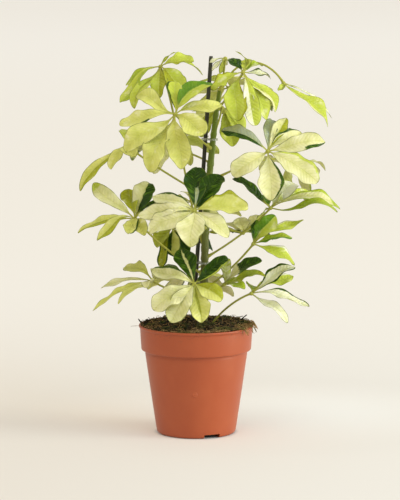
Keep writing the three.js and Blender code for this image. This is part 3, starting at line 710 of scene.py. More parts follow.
# %% Clips
GAP, CLIP_WALL, CLIP_PLAY, CLIP_TALL, CLIP_SIDES = 0.3, 1.4, 0.35, 2.2, 40
CLIPS = {"clip_lower": 178, "clip_upper": 307}  # heights
glassy = {"IOR": 1.58, "Roughness": 0.12, "Transmission_Weight": 0.85, "Base_Color": "#EEF2EA"}
clear_plastic = new_finish("clear_polycarbonate", **glassy)[0]


def drum(radius, tall, soft=0.45):
    """A short cylinder whose edges are rounded by two chamfers."""
    low, high = -tall / 2, tall / 2
    edge = [(radius - soft, low), (radius - 0.3 * soft, low + 0.3 * soft), (radius, low + soft)]
    return [(0, low), *edge, *[(r, -z) for r, z in edge[::-1]], (0, high)]


for name, height in CLIPS.items():
    stick_here = STAKE_FOOT + STAKE_WAY * ((height - STAKE_FOOT[2]) / STAKE_WAY[2])
    (stem_here,), (stem_radius,) = stem_at(height)
    drums, bores = [], []
    for place, radius in ((stick_here, STAKE_RADIUS), (stem_here, stem_radius)):
        hole = radius + GAP + CLIP_PLAY
        drums.append(moved(turned(drum(hole + CLIP_WALL, CLIP_TALL), CLIP_SIDES), place))
        bores.append(moved(turned([(0, -3), (hole, -3), (hole, 3), (0, 3)], CLIP_SIDES), place))
    clip = tool("clip", drums[0])
    carve(clip, [tool("drum", drums[1])], "UNION")
    carve(clip, [tool("bore", bore) for bore in bores], "DIFFERENCE")
    make_piece("clear_" + name, finished(clip), clear_plastic, "clear_plastic", name)

# %% [markdown]
# ## The leaves
#
# An umbrella plant's leaf is palmate: a long round stalk, the petiole, ends in a small hub, and
# five to nine leaflets spread from it like the ribs of an umbrella. The table below gives each
# leaf the height where its petiole starts, its hub, the way its upper side faces and its leaflets:
# paint, the tip seen from the hub, and where it differs the width, arch and sway. `stalk` is the
# share of the leaflets that is bare stalk. `leave` is the way in which the petiole sets out, and
# `bend` gives the two inner points of its curve.
#
# The paint is one capital for the ground colour, a second one for the patches where they are not
# dark green, and small letters for where the patches lie: `l` `r` a band along the left or right
# edge, `a` `b` the left or right half, `e` both edges, `t` the tip, `s` the stalk's end, `q` the
# right half near the tip, `k` along the midrib, `h` a wedge from the hub to the middle, `m`
# mottled all over and `p` one spot on the edge. Ground colours: C cream, B butter yellow, W nearly
# white, Y yellow-green, O olive, G fresh green, M middle green, S silvery green, D dark green. S
# is a painted reflection: the grey sheen that glossy dark green leaflets show under a soft light.

# %% Table of the leaves
LEAVES = {
    "upper_left": dict(joint=297, hub=(-21, -45, 337), up=(-0.15, -0.8, 0.58), width=26, leaflets=[
        ("YDl", 1, 26, 32, 16), ("YMat", 36, 18, 32, 23, 0.1, -0.1), ("B", 48, 9, 10, 18),
        ("B", 30, -30, -18, 25), ("B", 6, -20, -54, 25), ("B", -27, -20, -57, 25),
        ("B", -51, -10, -39, 25), ("Bp", -58, 8, -11, 18), ("B", -41, 22, 18, 19),
    ]),
    "top_left": dict(joint=192, hub=(-37, 12, 382), up=(-0.25, -0.45, 0.86), width=14,
        bend=[(-10, 6, 238), (-20, 10, 340)], leaflets=[
        ("GYa", -37, 18, -21, 15), ("GYb", -42, -14, -36, 17), ("YOk", -27, -26, -42, 18),
        ("YOa", -1, -24, -31, 18), ("YOb", 24, -20, -25, 23), ("YOb", 35, -6, 6, 21),
        ("Y", 44, 20, -10, 9, 0.22), ("O", 17, 34, 13, 2.6),
    ]),
    "mid_left": dict(joint=246, hub=(-72, 6, 301), up=(-0.3, -0.6, 0.74), width=19,
        leave=(-0.75, -0.4, 0.52), leaflets=[
        ("BOa", -49, -14, -47, 14, 0.12), ("B", -16, -32, -22, 15), ("B", 9, -34, -9, 16),
        ("Y", 36, 26, -2), ("Y", 4, 44, 12),
    ]),
    "left": dict(joint=165, hub=(-63, -15, 226), up=(-0.1, -0.6, 0.79), width=18, leaflets=[
        ("CYt", -45, 22, 36, 17, 0.1, -0.08), ("OYr", -8, 28, 29, 19), ("CDb", 14, 30, 36, 22),
        ("BOa", -60, 6, -14, 14, 0.14), ("BOa", -39, -20, -19, 13, 0.24), ("Bl", -5, -36, -10, 15),
        ("B", 11, -34, -12, 15), ("C", 34, 18, -6, 16), ("DM", 26, 24, 19, 9),
    ]),
    "centre_front": dict(joint=214, hub=(-2, -58, 240), up=(0, -0.72, 0.69), width=24,
        stalk=0.07, leaflets=[
        ("DSh", 3, 34, 42, 25), ("D", 29, 26, 33, 24), ("BOl", 56, 8, 4, 27),
        ("C", 36, -14, -26, 21), ("C", -4, -26, -34, 30), ("C", -47, -8, -22, 24),
        ("C", -57, 8, -6, 18), ("Cr", -43, 22, 13, 18),
    ]),
    "low_left": dict(joint=139, hub=(-45, -12, 161), up=(-0.3, -0.35, 0.88), width=14, leaflets=[
        ("B", -30, 30, 11, 19, 0.18), ("C", -56, 12, -9, 13), ("B", -63, -8, -30, 13),
        ("B", -36, -28, -19, 12), ("C", -5, -36, -2), ("C", 7, 34, 8, 10), ("C", 22, 34, 6),
    ]),
    "low_front": dict(joint=128, hub=(-2, -38, 162), up=(-0.05, -0.8, 0.6), width=22,
        stalk=0.07, leaflets=[
        ("Cr", -45, 18, 12, 17), ("C", -42, -14, -26, 25), ("C", -24, -22, -37, 25),
        ("BOk", 8, -20, -37, 22), ("BOa", 30, -14, -15, 21), ("DCk", -14, 30, 33, 21),
        ("DYr", 36, 16, 25, 16),
    ]),
    # In the top right leaf the white of the WDe leaflet is a painted reflection on a dark green
    # leaflet, and the W patches are partly variegation and partly painted highlights.
    "top_right": dict(joint=338, hub=(48, -18, 378), up=(0, -0.45, 0.89), width=20, leaflets=[
        ("YOr", -33, -8, -18, 16), ("YOl", -6, -20, -50, 23, 0.1, 0.09), ("YWb", 12, -24, -54, 18),
        ("YWr", 24, -14, -48, 17), ("YCb", 35, -4, -42, 16), ("WDe", 29, 12, -7, 14, 0.1),
        ("G", 20, 13, 6, 11, 0.2), ("D", -14, 8, 14, 13), ("Y", 6, 16, 13, 12),
        ("O", -8, 4, 22, 2.4, 0, 0.36),
    ]),
    "top_far_right": dict(joint=346, hub=(90, -5, 366), up=(0.5, -0.55, 0.67), width=12,
        stalk=0.06, bend=[(36, 15, 399), (73, 10, 394)], leaflets=[
        ("YCr", 46, -12, -44, 17, 0.10), ("W", 51, 14, -37, 7, 0.12), ("Y", -6, -10, -7, 4),
        ("Y", -3, 14, -8, 5),
    ]),
    "young": dict(joint=357, hub=(30, 2, 391), up=(0, -0.3, 0.95), width=5, leaflets=[
        ("W", -17, -6, -4), ("W", -14, -10, -12), ("Y", -6, -12, -15), ("W", 9, 9, -6),
        ("W", 1, 15, -8),
    ]),
    "upper_right": dict(joint=265, hub=(73, -42, 299), up=(0.1, -0.78, 0.6), width=24,
        stalk=0.09, leaflets=[
        ("SDa", -48, 20, 20, 17, 0.2), ("SDr", 4, 30, 32, 15), ("COb", 20, 30, 32, 14),
        ("Cl", 35, 24, 18, 19), ("CDq", 59, 8, 9, 20), ("CYl", 51, -10, -31, 27),
        ("Cl", 3, -18, -50, 26), ("C", -36, -10, -25, 23),
    ]),
    "mid_right": dict(joint=183, hub=(77, -8, 237), up=(0.1, -0.5, 0.86), width=20, leaflets=[
        ("G", 69, -10, -3, 13), ("CGet", 73, 16, -3, 19, 0.22), ("D", -41, 16, 30, 13),
        ("WYl", 26, 30, 23, 24), ("WYm", 44, 40, 12, 18), ("M", -6, 30, 11, 14),
        ("YMr", -13, 16, -16, 14),
    ]),
    "right": dict(joint=150, hub=(59, -20, 201), up=(0.1, -0.6, 0.79), width=16, leaflets=[
        ("YMa", 23, 4, 29, 21), ("MDa", 3, 8, 25, 9), ("YCl", 53, 14, 24, 11),
        ("GMb", 41, -8, 8, 13), ("YWl", 43, -6, -21, 19),
    ]),
    "low_right": dict(joint=101, hub=(57, -25, 150), up=(0.2, -0.45, 0.87), width=16,
        bend=[(22, -3, 128), (44, -20, 145)], leaflets=[
        ("Wl", 60, -10, -12, 19), ("W", 37, -24, -27, 14), ("WDe", 46, 10, 27, 18),
        ("YWl", 44, 26, 15, 16), ("G", 3, 30, 4),
    ]),
    "low_inner": dict(joint=147, hub=(29, -15, 158), up=(0.1, -0.5, 0.86), width=16, leaflets=[
        ("G", 21, -24, -1, 12), ("YOt", 43, -10, 11, 16), ("WYm", 5, -6, 28, 11),
        ("DCs", 39, -16, 29, 22), ("G", 10, 32, 2),
    ]),
    "inner_left": dict(joint=209, hub=(-25, 26, 213), up=(-0.35, -0.55, 0.76), width=18,
        leave=(0, 0.98, 0.2), leaflets=[
        ("YOm", -17, -10, -21, 22), ("ODe", -12, -14, -42, 13), ("BDb", 2, -13, -30, 17),
        ("D", 17, -6, -28, 16), ("Y", -22, 24, -6), ("G", 8, 34, 6), ("D", 43, 14, -27, 15),
    ]),
    "upper_back": dict(joint=312, hub=(27, 29, 338), up=(-0.1, -0.5, 0.86), width=20, leaflets=[
        ("Y", 12, -6, -40, 21), ("YOb", -24, -6, -30, 18), ("Y", 22, -2, -26), ("Yl", 10, 32, -16),
        ("Y", -30, 22, -4),
    ]),
    "right_inner": dict(joint=224, hub=(49, 16, 208), up=(0, -0.6, 0.8), width=16, leaflets=[
        ("C", -4, 6, 16, 18), ("D", -38, -3, 18, 3, -0.12), ("OCb", -38, 6, 0, 12),
        ("D", -12, 1, 1, 5), ("C", 22, 16, 14), ("C", -14, 30, 6, 14), ("Yl", 12, 36, 4),
        ("D", 32, 26, -8),
    ]),
    "back_upper_right": dict(joint=259, hub=(99, 52, 281), up=(0.35, 0.4, 0.85), width=20,
        bend=[(34, 20, 276), (74, 46, 287)], leaflets=[
        ("C", 39, 6, -12, 14), ("Cl", 30, 34, -20), ("Bm", 0, 50, -18), ("C", -32, 38, -14),
        ("B", -14, -16, -38), ("CGr", 16, -6, -44),
    ]),
}  # fmt: skip
print("leaves in the table:", len(LEAVES))

# %% [markdown]
# Four more leaves stand at the back, where the picture doesn't look. Their leaflets follow a rule
# instead of a table: seven round the hub at even angles, drooping a little, every second one
# shorter.

# %% Leaves at the back
BACK_LEAVES = {
    "back_upper_left": dict(
        joint=281, hub=(-28, 66, 300), up=(-0.1, 0.5, 0.86), turn=10, leave=(-0.2, 1, 0.2)
    ),
    "back_middle": dict(joint=194, hub=(-2, 72, 234), up=(0, 0.55, 0.84), turn=5),
    "back_low": dict(joint=157, hub=(-8, 62, 156), up=(0, 0.5, 0.86), turn=20),
    "back_top": dict(
        joint=332, hub=(34, 70, 356), up=(0, 0.55, 0.83), turn=25, leave=(0.1, 0.6, 0.8)
    ),
}
FAN_REACH, FAN_SHORTER, FAN_DROOP, FAN_WIDTH = 52, 0.14, 0.3, 23
FAN_PAINTS = ("YOl", "B", "C", "Bm", "Cr", "B", "Cl")


def unit(vector):
    """The same direction with length 1."""
    vector = np.asarray(vector, float)
    return vector / np.linalg.norm(vector, axis=-1, keepdims=True)


def fan(leaf, paints):
    """Tip = the spoke at angle a minus up times droop, all of it times the length. The spokes lie
    square to up."""
    up = unit(leaf["up"])
    first = unit(np.array([1, 0, 0]) - up * up[0])
    index = np.arange(len(paints))
    turn = np.radians(leaf["turn"] + 360 / len(paints) * index)
    shorter = 1 - FAN_SHORTER * (index % 2)
    tips = (spokes(first, np.cross(up, first), turn) - up * FAN_DROOP) * FAN_REACH * shorter[:, None]
    return [(paint, *tip, FAN_WIDTH * share) for paint, tip, share in zip(paints, tips, shorter)]


for shift, (name, leaf) in enumerate(BACK_LEAVES.items()):
    paints = FAN_PAINTS[shift:] + FAN_PAINTS[:shift]
    LEAVES[name] = {**leaf, "width": FAN_WIDTH, "leaflets": fan(leaf, paints)}
print("leaves:", len(LEAVES), "leaflets:", sum(len(leaf["leaflets"]) for leaf in LEAVES.values()))

# %% [markdown]
# ## Where the paint lies
#
# Variegated leaves grow their patches as they grow their cells, so a patch's border follows the
# leaf and not the space around it. Each point of a leaflet carries its own paint: the ground
# colour, the patch colour, and `spread`, a number that says how surely the point lies in the
# patch. The material roughens the border with noise. The coordinates are `across`, from -1 at the
# left edge to 1 at the right one, and `t`, from 0 at the hub to 1 at the tip.

# %% Paint
PAINTS = {  # near the edge, near the midrib
    "C": ("#E1DEAC", "#CFCB80"),
    "B": ("#D6D67C", "#BCBE44"),
    "W": ("#ECEACE", "#DADDB0"),
    "Y": ("#BFCB4C", "#A2B026"),
    "O": ("#A4A81C", "#7F8406"),
    "G": ("#A6B82A", "#7A9A0C"),
    "M": ("#5C8A12", "#3C660A"),
    # S is a painted reflection: the grey sheen of a glossy dark green leaflet
    "S": ("#A5AD96", "#8C9A7E"),
    "D": ("#2A4806", "#152801"),
}


LEAFLET_SHADES = 0.03  # how far leaflets usually differ in lightness
HEART_WIDE, HEART_STRONG, HEART_FADE = 0.55, 0.75, 0.35


def patch_zones(across, t):
    """How surely each point lies in each zone, from 0 to 1."""
    off, t = np.abs(across), t + 0 * across
    return {
        "l": smooth(0.62, 0.92, -across),
        "r": smooth(0.62, 0.92, across),
        "e": smooth(0.55, 0.85, off),
        "a": smooth(-0.1, 0.3, -across),
        "b": smooth(-0.1, 0.3, across),
        "k": smooth(0.38, 0.10, off + 0.25 * t),
        "h": smooth(0.50, 0.25, np.abs(across - 0.12) + 0.62 * t),
        "t": smooth(0.78, 0.95, t),
        "s": smooth(0.55, 0.35, t),
        "q": smooth(0.35, 0.7, across) * smooth(0.5, 0.75, t),
        "m": 0.5 + 0 * across,
        "p": smooth(0.45, 0.85, -across) * smooth(0.40, 0.46, t) * smooth(0.64, 0.58, t),
    }


def painted(code, across, t, draw):
    """Ground = rim + (heart - rim) times a bell curve of across. Spread = the largest of the zones.
    Each leaflet is a little lighter or darker than the next."""
    capitals = [letter for letter in code if letter.isupper()] + ["D"]
    light = draw.normal(1, LEAFLET_SHADES)
    bell = np.exp(-((across / HEART_WIDE) ** 2)) * (HEART_STRONG - HEART_FADE * t)
    colours = []
    for letter in capitals[:2]:
        rim, heart = (linear(shade) * light for shade in PAINTS[letter])
        colours.append(rim + (heart - rim) * bell[..., None])
    zones = patch_zones(across, t)
    spread = np.max([0 * across, *(zones[letter] for letter in code if letter.islower())], axis=0)
    return *colours, spread


print("ground colours:", len(PAINTS), "zones:", len(patch_zones(0, 0)))

# %% [markdown]
# ## One leaflet
#
# A leaflet is a tube that changes its section: a round stalk at the hub, then a blade less than
# half a millimetre thick. The section is a circle squashed to half-width w and half-thickness h,
# and its flat sides come from a power below 1 on the sine. The width swells past the middle and
# ends bluntly. The blade is folded along its midrib, its edges wave, and the midrib stands out
# underneath. No two leaflets are alike, so each one draws its own bluntness, edge, crinkle, twist
# and sag.

# %% Leaflet
USUAL_STALK, STALK_RADIUS, BLADE_HALF_THICK = 0.13, 0.85, 0.22
FOLD, WAVE, WAVES = 0.28, 1.1, 1.5  # slope of the two sides, the edges' waves in mm and how many
RINGS, AROUND = 44, 28
TIP_CROWDING = 1.45  # above 1, the rings stand closer together towards the tip
LOBE_RATES = np.array([5.0, 9.0, 15.0, 25.0])  # radians from hub to tip
LOBE_SIZES = np.array([0.070, 0.060, 0.042, 0.026])  # share of the half-width
FOLD_RADIUS, PUCKER, PUCKER_ACROSS, PUCKER_ALONG = 1.4, 0.16, 0.6, 0.45  # mm, and two rates per mm
RIB_DEEP, RIB_WIDE, GROOVE_DEEP, GROOVE_WIDE, NOTCH_WIDE = 0.55, 1.3, 0.16, 0.9, 3.5
VEIN_SLOPE = 0.85  # mm that a side vein runs on for each mm away from the midrib
BLUNTNESS, BELLY = (0.50, 0.74), (1.2, 1.5)  # every leaflet draws its own between these
CRINKLE, CRINKLE_RATES = (0.02, 0.075), (11, 24)  # share of the width, radians from hub to tip
TWIST, SLANT, NOTCH = 0.13, 0.15, 0.8  # how far leaflets usually differ: radians, a slope, mm
SAG, VEER, FOLD_SPREAD = 0.035, 0.022, 0.07  # two shares of the length, a slope


def leaflet_skin(leaf, code, tip, width, arch, sway, draw):
    """Centre = hub + tip t + over L (4 arch t (1 - t) + sag sin 2 pi t), and the same sideways.
    Half-width = width / 2 times sin(pi u^belly)^blunt times (1 + the edge's four sines), with u the
    share of the way along the blade. Height over the centre = fold (sqrt(x^2 + r^2) - r) + wave x +
    edge crinkle + puckers + half-thickness."""
    hub, up, bare = np.array(leaf["hub"], float), unit(leaf["up"]), leaf.get("stalk", USUAL_STALK)
    blunt, belly = draw.uniform(*BLUNTNESS), draw.uniform(*BELLY)
    twist, slant, notch = draw.normal(0, TWIST), draw.normal(0, SLANT), abs(draw.normal(0, NOTCH))
    sag, veer = draw.normal(0, (SAG, VEER))
    fold, crinkle = FOLD + draw.normal(0, FOLD_SPREAD), draw.uniform(*CRINKLE)
    phase = draw.uniform(0, 2 * np.pi, (2, 6))
    strength = LOBE_SIZES * draw.normal(0, 1, (2, 4))
    rate = draw.uniform(*CRINKLE_RATES, 2)

    s = np.linspace(0, 1, RINGS + 2)[1:-1, None]
    t = 1 - (1 - s) ** TIP_CROWDING
    turn = angles(AROUND)
    across, upward = np.cos(turn) + 0 * t, np.sin(turn) + 0 * t
    length = np.linalg.norm(tip)
    along = unit(tip)
    over = unit(up - along * np.dot(up, along))
    side = np.cross(along, over)

    blade = smooth(0.6 * bare, 1.7 * bare, t)
    u = np.clip((t - bare) / (1 - bare), 0, 1)
    swell = width / 2 * np.sin(np.pi * u**belly) ** blunt
    edges = [(strength[k] * np.sin(LOBE_RATES * t[..., None] + phase[k, :4])).sum(-1) for k in (0, 1)]
    right = across > 0
    swell = swell * (1 + np.where(right, *edges) * smooth(0.2, 0.5, t))
    half = np.hypot(swell, STALK_RADIUS * smooth(1.0, 0.8, t))
    x = across * half
    thick = STALK_RADIUS + (BLADE_HALF_THICK - STALK_RADIUS) * blade
    thick = thick * np.minimum(1, half / 1.2)
    flat = np.sign(upward) * np.abs(upward) ** (1 - 0.55 * blade) * thick
    under = 0.5 - 0.5 * np.sign(np.round(upward, 6))

    lift = fold * (np.hypot(x, FOLD_RADIUS) - FOLD_RADIUS)
    lift = lift - WAVE * np.sin(2 * np.pi * WAVES * t + tip[0] + tip[2]) * x / (width / 2)
    ripple = np.where(right, *(np.sin(rate[k] * t + phase[k, 4]) for k in (0, 1)))
    lift = lift + crinkle * width * ripple * np.abs(across) ** 2.5 * smooth(0.2, 0.45, t)
    pucker = np.sin(PUCKER_ACROSS * x + phase[0, 5]) * np.sin(PUCKER_ALONG * length * t + phase[1, 5])
    lift = lift + PUCKER * pucker
    rib = -RIB_DEEP * (1 - 0.75 * t) * np.exp(-((x / RIB_WIDE) ** 2)) * under
    groove = -GROOVE_DEEP * np.exp(-((x / GROOVE_WIDE) ** 2)) * (1 - under)
    above = (lift + rib + groove) * blade + flat - 0.3 * blade

    turned_by = twist * t * blade
    bow, snake = 4 * length * t * (1 - t), length * np.sin(2 * np.pi * t)
    sideways = x * np.cos(turned_by) - above * np.sin(turned_by) + sway * bow + veer * snake
    upwards = above * np.cos(turned_by) + x * np.sin(turned_by) + arch * bow + sag * snake
    forward = length * t + slant * x * smooth(0.5, 1, t)
    forward = forward - notch * np.exp(-((x / NOTCH_WIDE) ** 2)) * smooth(0.8, 1, t)
    rings = hub + forward[..., None] * along + sideways[..., None] * side + upwards[..., None] * over

    ground, patch, spread = painted(code, across, t, draw)
    return skin(
        rings,
        [hub, hub + np.asarray(tip) - notch * along],
        ground=ground,
        patch=patch,
        spread=spread * blade,
        margin=np.minimum(half - np.abs(x), (1 - t) * length) + 3 * (1 - blade),
        across=np.abs(x),
        vein=length * t - VEIN_SLOPE * np.abs(x),
        stalk=1 - smooth(0.7 * bare, 2.0 * bare, t),
        under=under,
        seed=draw.uniform(0, 50) + 9.0 * right,
    )


print("points in a leaflet:", RINGS * AROUND + 2)

# %% [markdown]
# ## Petiole and hub
#
# The petiole is a round tube along a cubic curve. It leaves the stem a little outwards, clasps it
# with a wider foot, and swells again just under the hub. The hub itself is a small ball.

# %% Petiole and hub
PETIOLE_RADIUS, PETIOLE_FOOT, FOOT_LONG, COLLAR, COLLAR_LONG = 1.05, 2.3, 7, 0.5, 3.5
LEAVE_LEVEL, LEAVE_SHARE = 0.25, 0.36  # how level it sets out, and how far off its inner point lies
ARRIVE_UP, ARRIVE_SHARE = 0.4, 0.3  # how much it rises into the hub, and the same at this end
HUB_RADIUS, HUB_FLATNESS, HUB_BUMP = 2.3, 0.85, 0.07
PETIOLE_RINGS, PETIOLE_SIDES, HUB_RINGS, HUB_SIDES = 40, 14, 10, 24
STALK_GREEN = "#A5A548"
green = linear(STALK_GREEN)[None, None]
# what the layers say where there is no blade
NO_BLADE = dict(
    ground=green, patch=green, spread=0, margin=5, across=0, vein=0, stalk=1, under=0, seed=0
)


def petiole_skin(leaf):
    """Bezier: (1-t)^3 a + 3 (1-t)^2 t b + 3 (1-t) t^2 c + t^3 d, and round it circles of radius
    r + (foot - r) exp(-(s / foot's length)^2), with s the way from the stem, and so at the hub."""
    start, end = stem_at(leaf["joint"])[0][0], np.array(leaf["hub"], float)
    reach = np.linalg.norm(end - start)
    chord = (end - start) / reach
    leave = unit(leaf.get("leave", chord + LEAVE_LEVEL * unit(chord * [1, 1, 0])))
    arrive = unit(chord + ARRIVE_UP * np.array(leaf["up"]))
    usual = (start + leave * reach * LEAVE_SHARE, end - arrive * reach * ARRIVE_SHARE)
    b, c = np.array(leaf.get("bend", usual), float)
    t = np.linspace(0, 1, PETIOLE_RINGS + 2)[1:-1, None]
    centre = (1 - t) ** 3 * start + 3 * (1 - t) ** 2 * t * b + 3 * (1 - t) * t**2 * c + t**3 * end
    along = unit((1 - t) ** 2 * (b - start) + 2 * (1 - t) * t * (c - b) + t**2 * (end - c))
    level = np.cross((0, 0, 1), chord)
    side = unit(level - along * (along @ level)[:, None])
    way = t * reach
    radius = PETIOLE_RADIUS + (PETIOLE_FOOT - PETIOLE_RADIUS) * np.exp(-((way / FOOT_LONG) ** 2))
    radius = radius + COLLAR * np.exp(-(((reach - way) / COLLAR_LONG) ** 2))
    circle = spokes(side, np.cross(side, along), angles(PETIOLE_SIDES))
    return skin(centre[:, None] + circle * radius[:, None], [start, end], **NO_BLADE)


def hub_skin(leaf):
    """A ball: ring radius R sin a, height R cos a along the leaf's up, and a low bump a leaflet."""
    hub, up = np.array(leaf["hub"], float), unit(leaf["up"])
    first = unit(np.cross(up, (0, 1, 0)))
    tilt = np.linspace(0, np.pi, HUB_RINGS + 2)[1:-1, None]
    turn = angles(HUB_SIDES)
    bumpy = HUB_RADIUS * (1 + HUB_BUMP * np.sin(len(leaf["leaflets"]) * turn) * np.sin(tilt))
    radial = (bumpy * np.sin(tilt))[..., None] * spokes(first, np.cross(up, first), turn)
    rings = hub + radial + (HUB_FLATNESS * bumpy * np.cos(tilt))[..., None] * up
    return skin(rings, [hub + up * HUB_RADIUS * HUB_FLATNESS * way for way in (1, -1)], **NO_BLADE)


print("petiole of the top left leaf ends at", LEAVES["top_left"]["hub"])

# %% [markdown]
# ## Living leaf
#
# The upper side of the blade has a thin wax layer: dark green parts are glossy, 0.3 rough, and
# shine grey under a soft light, while the cream parts look matt. Light goes some way through the
# thin blade, so a little of it scatters under the surface, over about 1.5 mm. Side veins leave the
# midrib every 4 mm at about 50 degrees and stand out slightly. The patches' borders run in streaks
# along those veins, with a paler green fringe. The same streaks marble the dark green tissue with
# a lighter green. Pale clouds are partly paler tissue and partly painted soft highlights, and the
# thin olive line round the edge is partly the margin and partly painted shade.

# %% Leaf paint
STREAK_LONG, STREAK_APART = 4.2, 9.0  # mm
CLOUD, MOTTLE = 0.011, 0.0025  # metres
living_leaf, tree, shader = new_finish("living_leaf", IOR=1.45)
place = add(tree, "TexCoord").outputs["Object"]
across, vein, seed, spread, margin, stalk, under = (
    add(tree, "Attribute", attribute_name=name).outputs["Fac"]
    for name in ("across", "vein", "seed", "spread", "margin", "stalk", "under")
)
ground, patch = (add(tree, "Attribute", attribute_name=name) for name in ("ground", "patch"))

run = add(tree, "Math", {0: vein, 1: STREAK_LONG}, operation="DIVIDE")
aside = add(tree, "Math", {0: across, 1: STREAK_APART}, operation="DIVIDE")
streak_place = add(tree, "CombineXYZ", {0: run, 1: aside, 2: seed})
streaks = add(tree, "TexNoise", {"Vector": streak_place, "Scale": 1.0, "Detail": 4})
wander = add(tree, "Math", {0: streaks, 1: 1.1, 2: -0.55}, **TIMES_PLUS)
loose = add(tree, "MapRange", {0: spread, 1: 0, 2: 0.12}, **SOFTLY)
reach = add(tree, "Math", {0: wander, 1: loose, 2: spread}, **TIMES_PLUS)
fringe = add(tree, "MapRange", {0: reach, 1: 0.26, 2: 0.40, 4: 0.42}, **SOFTLY)
inside = add(tree, "MapRange", {0: reach, 1: 0.46, 2: 0.56}, **SOFTLY)
colour = add(tree, "Mix", {0: fringe, 6: ground, 7: patch}, **COLOURS)
colour = add(tree, "Mix", {0: inside, 6: colour, 7: patch}, **COLOURS)

tone = add(tree, "RGBToBW", {0: colour})
pale = add(tree, "MapRange", {0: tone, 1: 0.08, 2: 0.38})  # 0 in dark green, 1 in cream
dark = add(tree, "MapRange", {0: tone, 1: 0.12, 2: 0.04})
cloud = add(tree, "TexNoise", {"Vector": place, "Scale": 1 / CLOUD, "Detail": 3})
mottle = add(tree, "TexNoise", {"Vector": place, "Scale": 1 / MOTTLE, "Detail": 3})
for noise, low, high, most, how, tissue, towards in (
    (cloud, 0.40, 0.72, 0.42, SOFTLY, pale, "#A3A930"),
    # pale clouds: partly paler tissue, partly painted soft highlights
    (cloud, 0.42, 0.26, 0.45, SOFTLY, pale, "#F0ECC6"),
    (streaks, 0.52, 0.68, 0.5, SOFTLY, dark, "#6A9022"),
    (mottle, 0.45, 0.70, 0.14, {}, pale, "#D9DA9A"),
):
    share = add(tree, "MapRange", {0: noise, 1: low, 2: high, 4: most}, **how)
    share = add(tree, "Math", {0: share, 1: tissue}, **TIMES)
    colour = add(tree, "Mix", {0: share, 6: colour, 7: towards}, **COLOURS)
print("nodes in the leaf paint:", len(tree.nodes))

# %% [markdown]
# On top of the paint come the lines: side veins, midrib and edge. They are found from two lengths
# in millimetres that each point carries: `across`, its way from the midrib, and `vein`, the place
# on the midrib where its side vein starts. A ping-pong of the second gives the way to the nearest
# vein. A few brown specks, up to 0.8 mm across, are the small scars that every real leaf has.

# %% Leaf lines and gloss
VEIN_SPACING, SCARS_APART = 4.0, 0.016  # mm, metres
bent = add(tree, "Math", {0: wander, 1: 0.8, 2: vein}, **TIMES_PLUS)
count = add(tree, "Math", {0: bent, 1: VEIN_SPACING}, operation="DIVIDE")
off_vein = add(tree, "Math", {0: count, 1: 0.5}, operation="PINGPONG")  # 0 on a vein, 0.5 between two
thin = add(tree, "MapRange", {0: off_vein, 1: 0.11, 2: 0.025, 4: 0.4}, **SOFTLY)
fade = add(tree, "MapRange", {0: margin, 1: 0.4, 2: 2.5}, **SOFTLY)
side_veins = add(tree, "Math", {0: thin, 1: fade}, **TIMES)
midrib = add(tree, "MapRange", {0: across, 1: 0.75, 2: 0.25}, **SOFTLY)
lines = add(tree, "Math", {0: side_veins, 1: midrib}, operation="MAXIMUM")
# The olive line round the edge is partly the leaf's margin and partly painted shade, the dark outline
# of an edge turned from the light.
rim = add(tree, "MapRange", {0: margin, 1: 1.05, 2: 0.4}, **SOFTLY)
inked = add(tree, "MapRange", {0: cloud, 1: 0.4, 2: 0.6, 3: 0.3, 4: 0.8})  # in places it fades
on_blade = add(tree, "Math", {0: 1.0, 1: stalk}, operation="SUBTRACT")
line_share, edge_line_and_shade_share = (
    add(tree, "Math", {0: add(tree, "Math", {0: first, 1: second}, **TIMES), 1: on_blade}, **TIMES)
    for first, second in ((lines, 0.34), (rim, inked))
)
scars = add(tree, "TexVoronoi", {"Vector": place, "Scale": 1 / SCARS_APART})
scar = add(tree, "MapRange", {0: scars, 1: 0.032, 2: 0.02, 4: 0.6})
for share, towards in (
    (line_share, add(tree, "Mix", {0: pale, 6: "#3F5F14", 7: "#C2C66C"}, **COLOURS)),
    (edge_line_and_shade_share, "#55601A"),
    (scar, "#6B5226"),
    (add(tree, "Math", {0: under, 1: 0.22}, **TIMES), "#C4C892"),
    (stalk, STALK_GREEN),
):
    colour = add(tree, "Mix", {0: share, 6: colour, 7: towards}, **COLOURS)

waxy = add(tree, "MapRange", {0: tone, 1: 0.05, 2: 0.4, 3: 0.28, 4: 0.48})
bulge = add(tree, "Math", {0: off_vein, 1: fade}, **TIMES)
relief = add(tree, "Math", {0: streaks, 1: 0.25, 2: bulge}, **TIMES_PLUS)
relief = add(tree, "Math", {0: lines, 1: -0.5, 2: relief}, **TIMES_PLUS)
plug(
    shader,
    {
        "Base Color": colour,
        "Roughness": add(tree, "Math", {0: under, 1: 0.15, 2: waxy}, **TIMES_PLUS),
        "Normal": add(tree, "Bump", {"Height": relief, "Strength": 0.8, "Distance": 0.0005}),
        "Specular IOR Level": 0.2,
        "Subsurface Weight": 0.18,
        "Subsurface Radius": (1.0, 1.0, 0.35),
        "Subsurface Scale": 0.0015,
    },
)
print("nodes in the leaf finish:", len(tree.nodes))

# %% Grow the leaves
USUAL_ARCH, USUAL_SWAY = 0.1, 0.0
draw = np.random.default_rng(23)
for name, leaf in LEAVES.items():
    skins = [petiole_skin(leaf), hub_skin(leaf)]
    for code, dx, dy, dz, *rest in leaf["leaflets"]:
        width, arch, sway = (*rest, *(leaf["width"], USUAL_ARCH, USUAL_SWAY)[len(rest) :])
        skins.append(leaflet_skin(leaf, code, (dx, dy, dz), width, arch, sway, draw))
    piece_name = name + "_leaf"
    make_piece(piece_name, make_mesh(piece_name, skins), living_leaf, "leaf", "leaf_" + name)
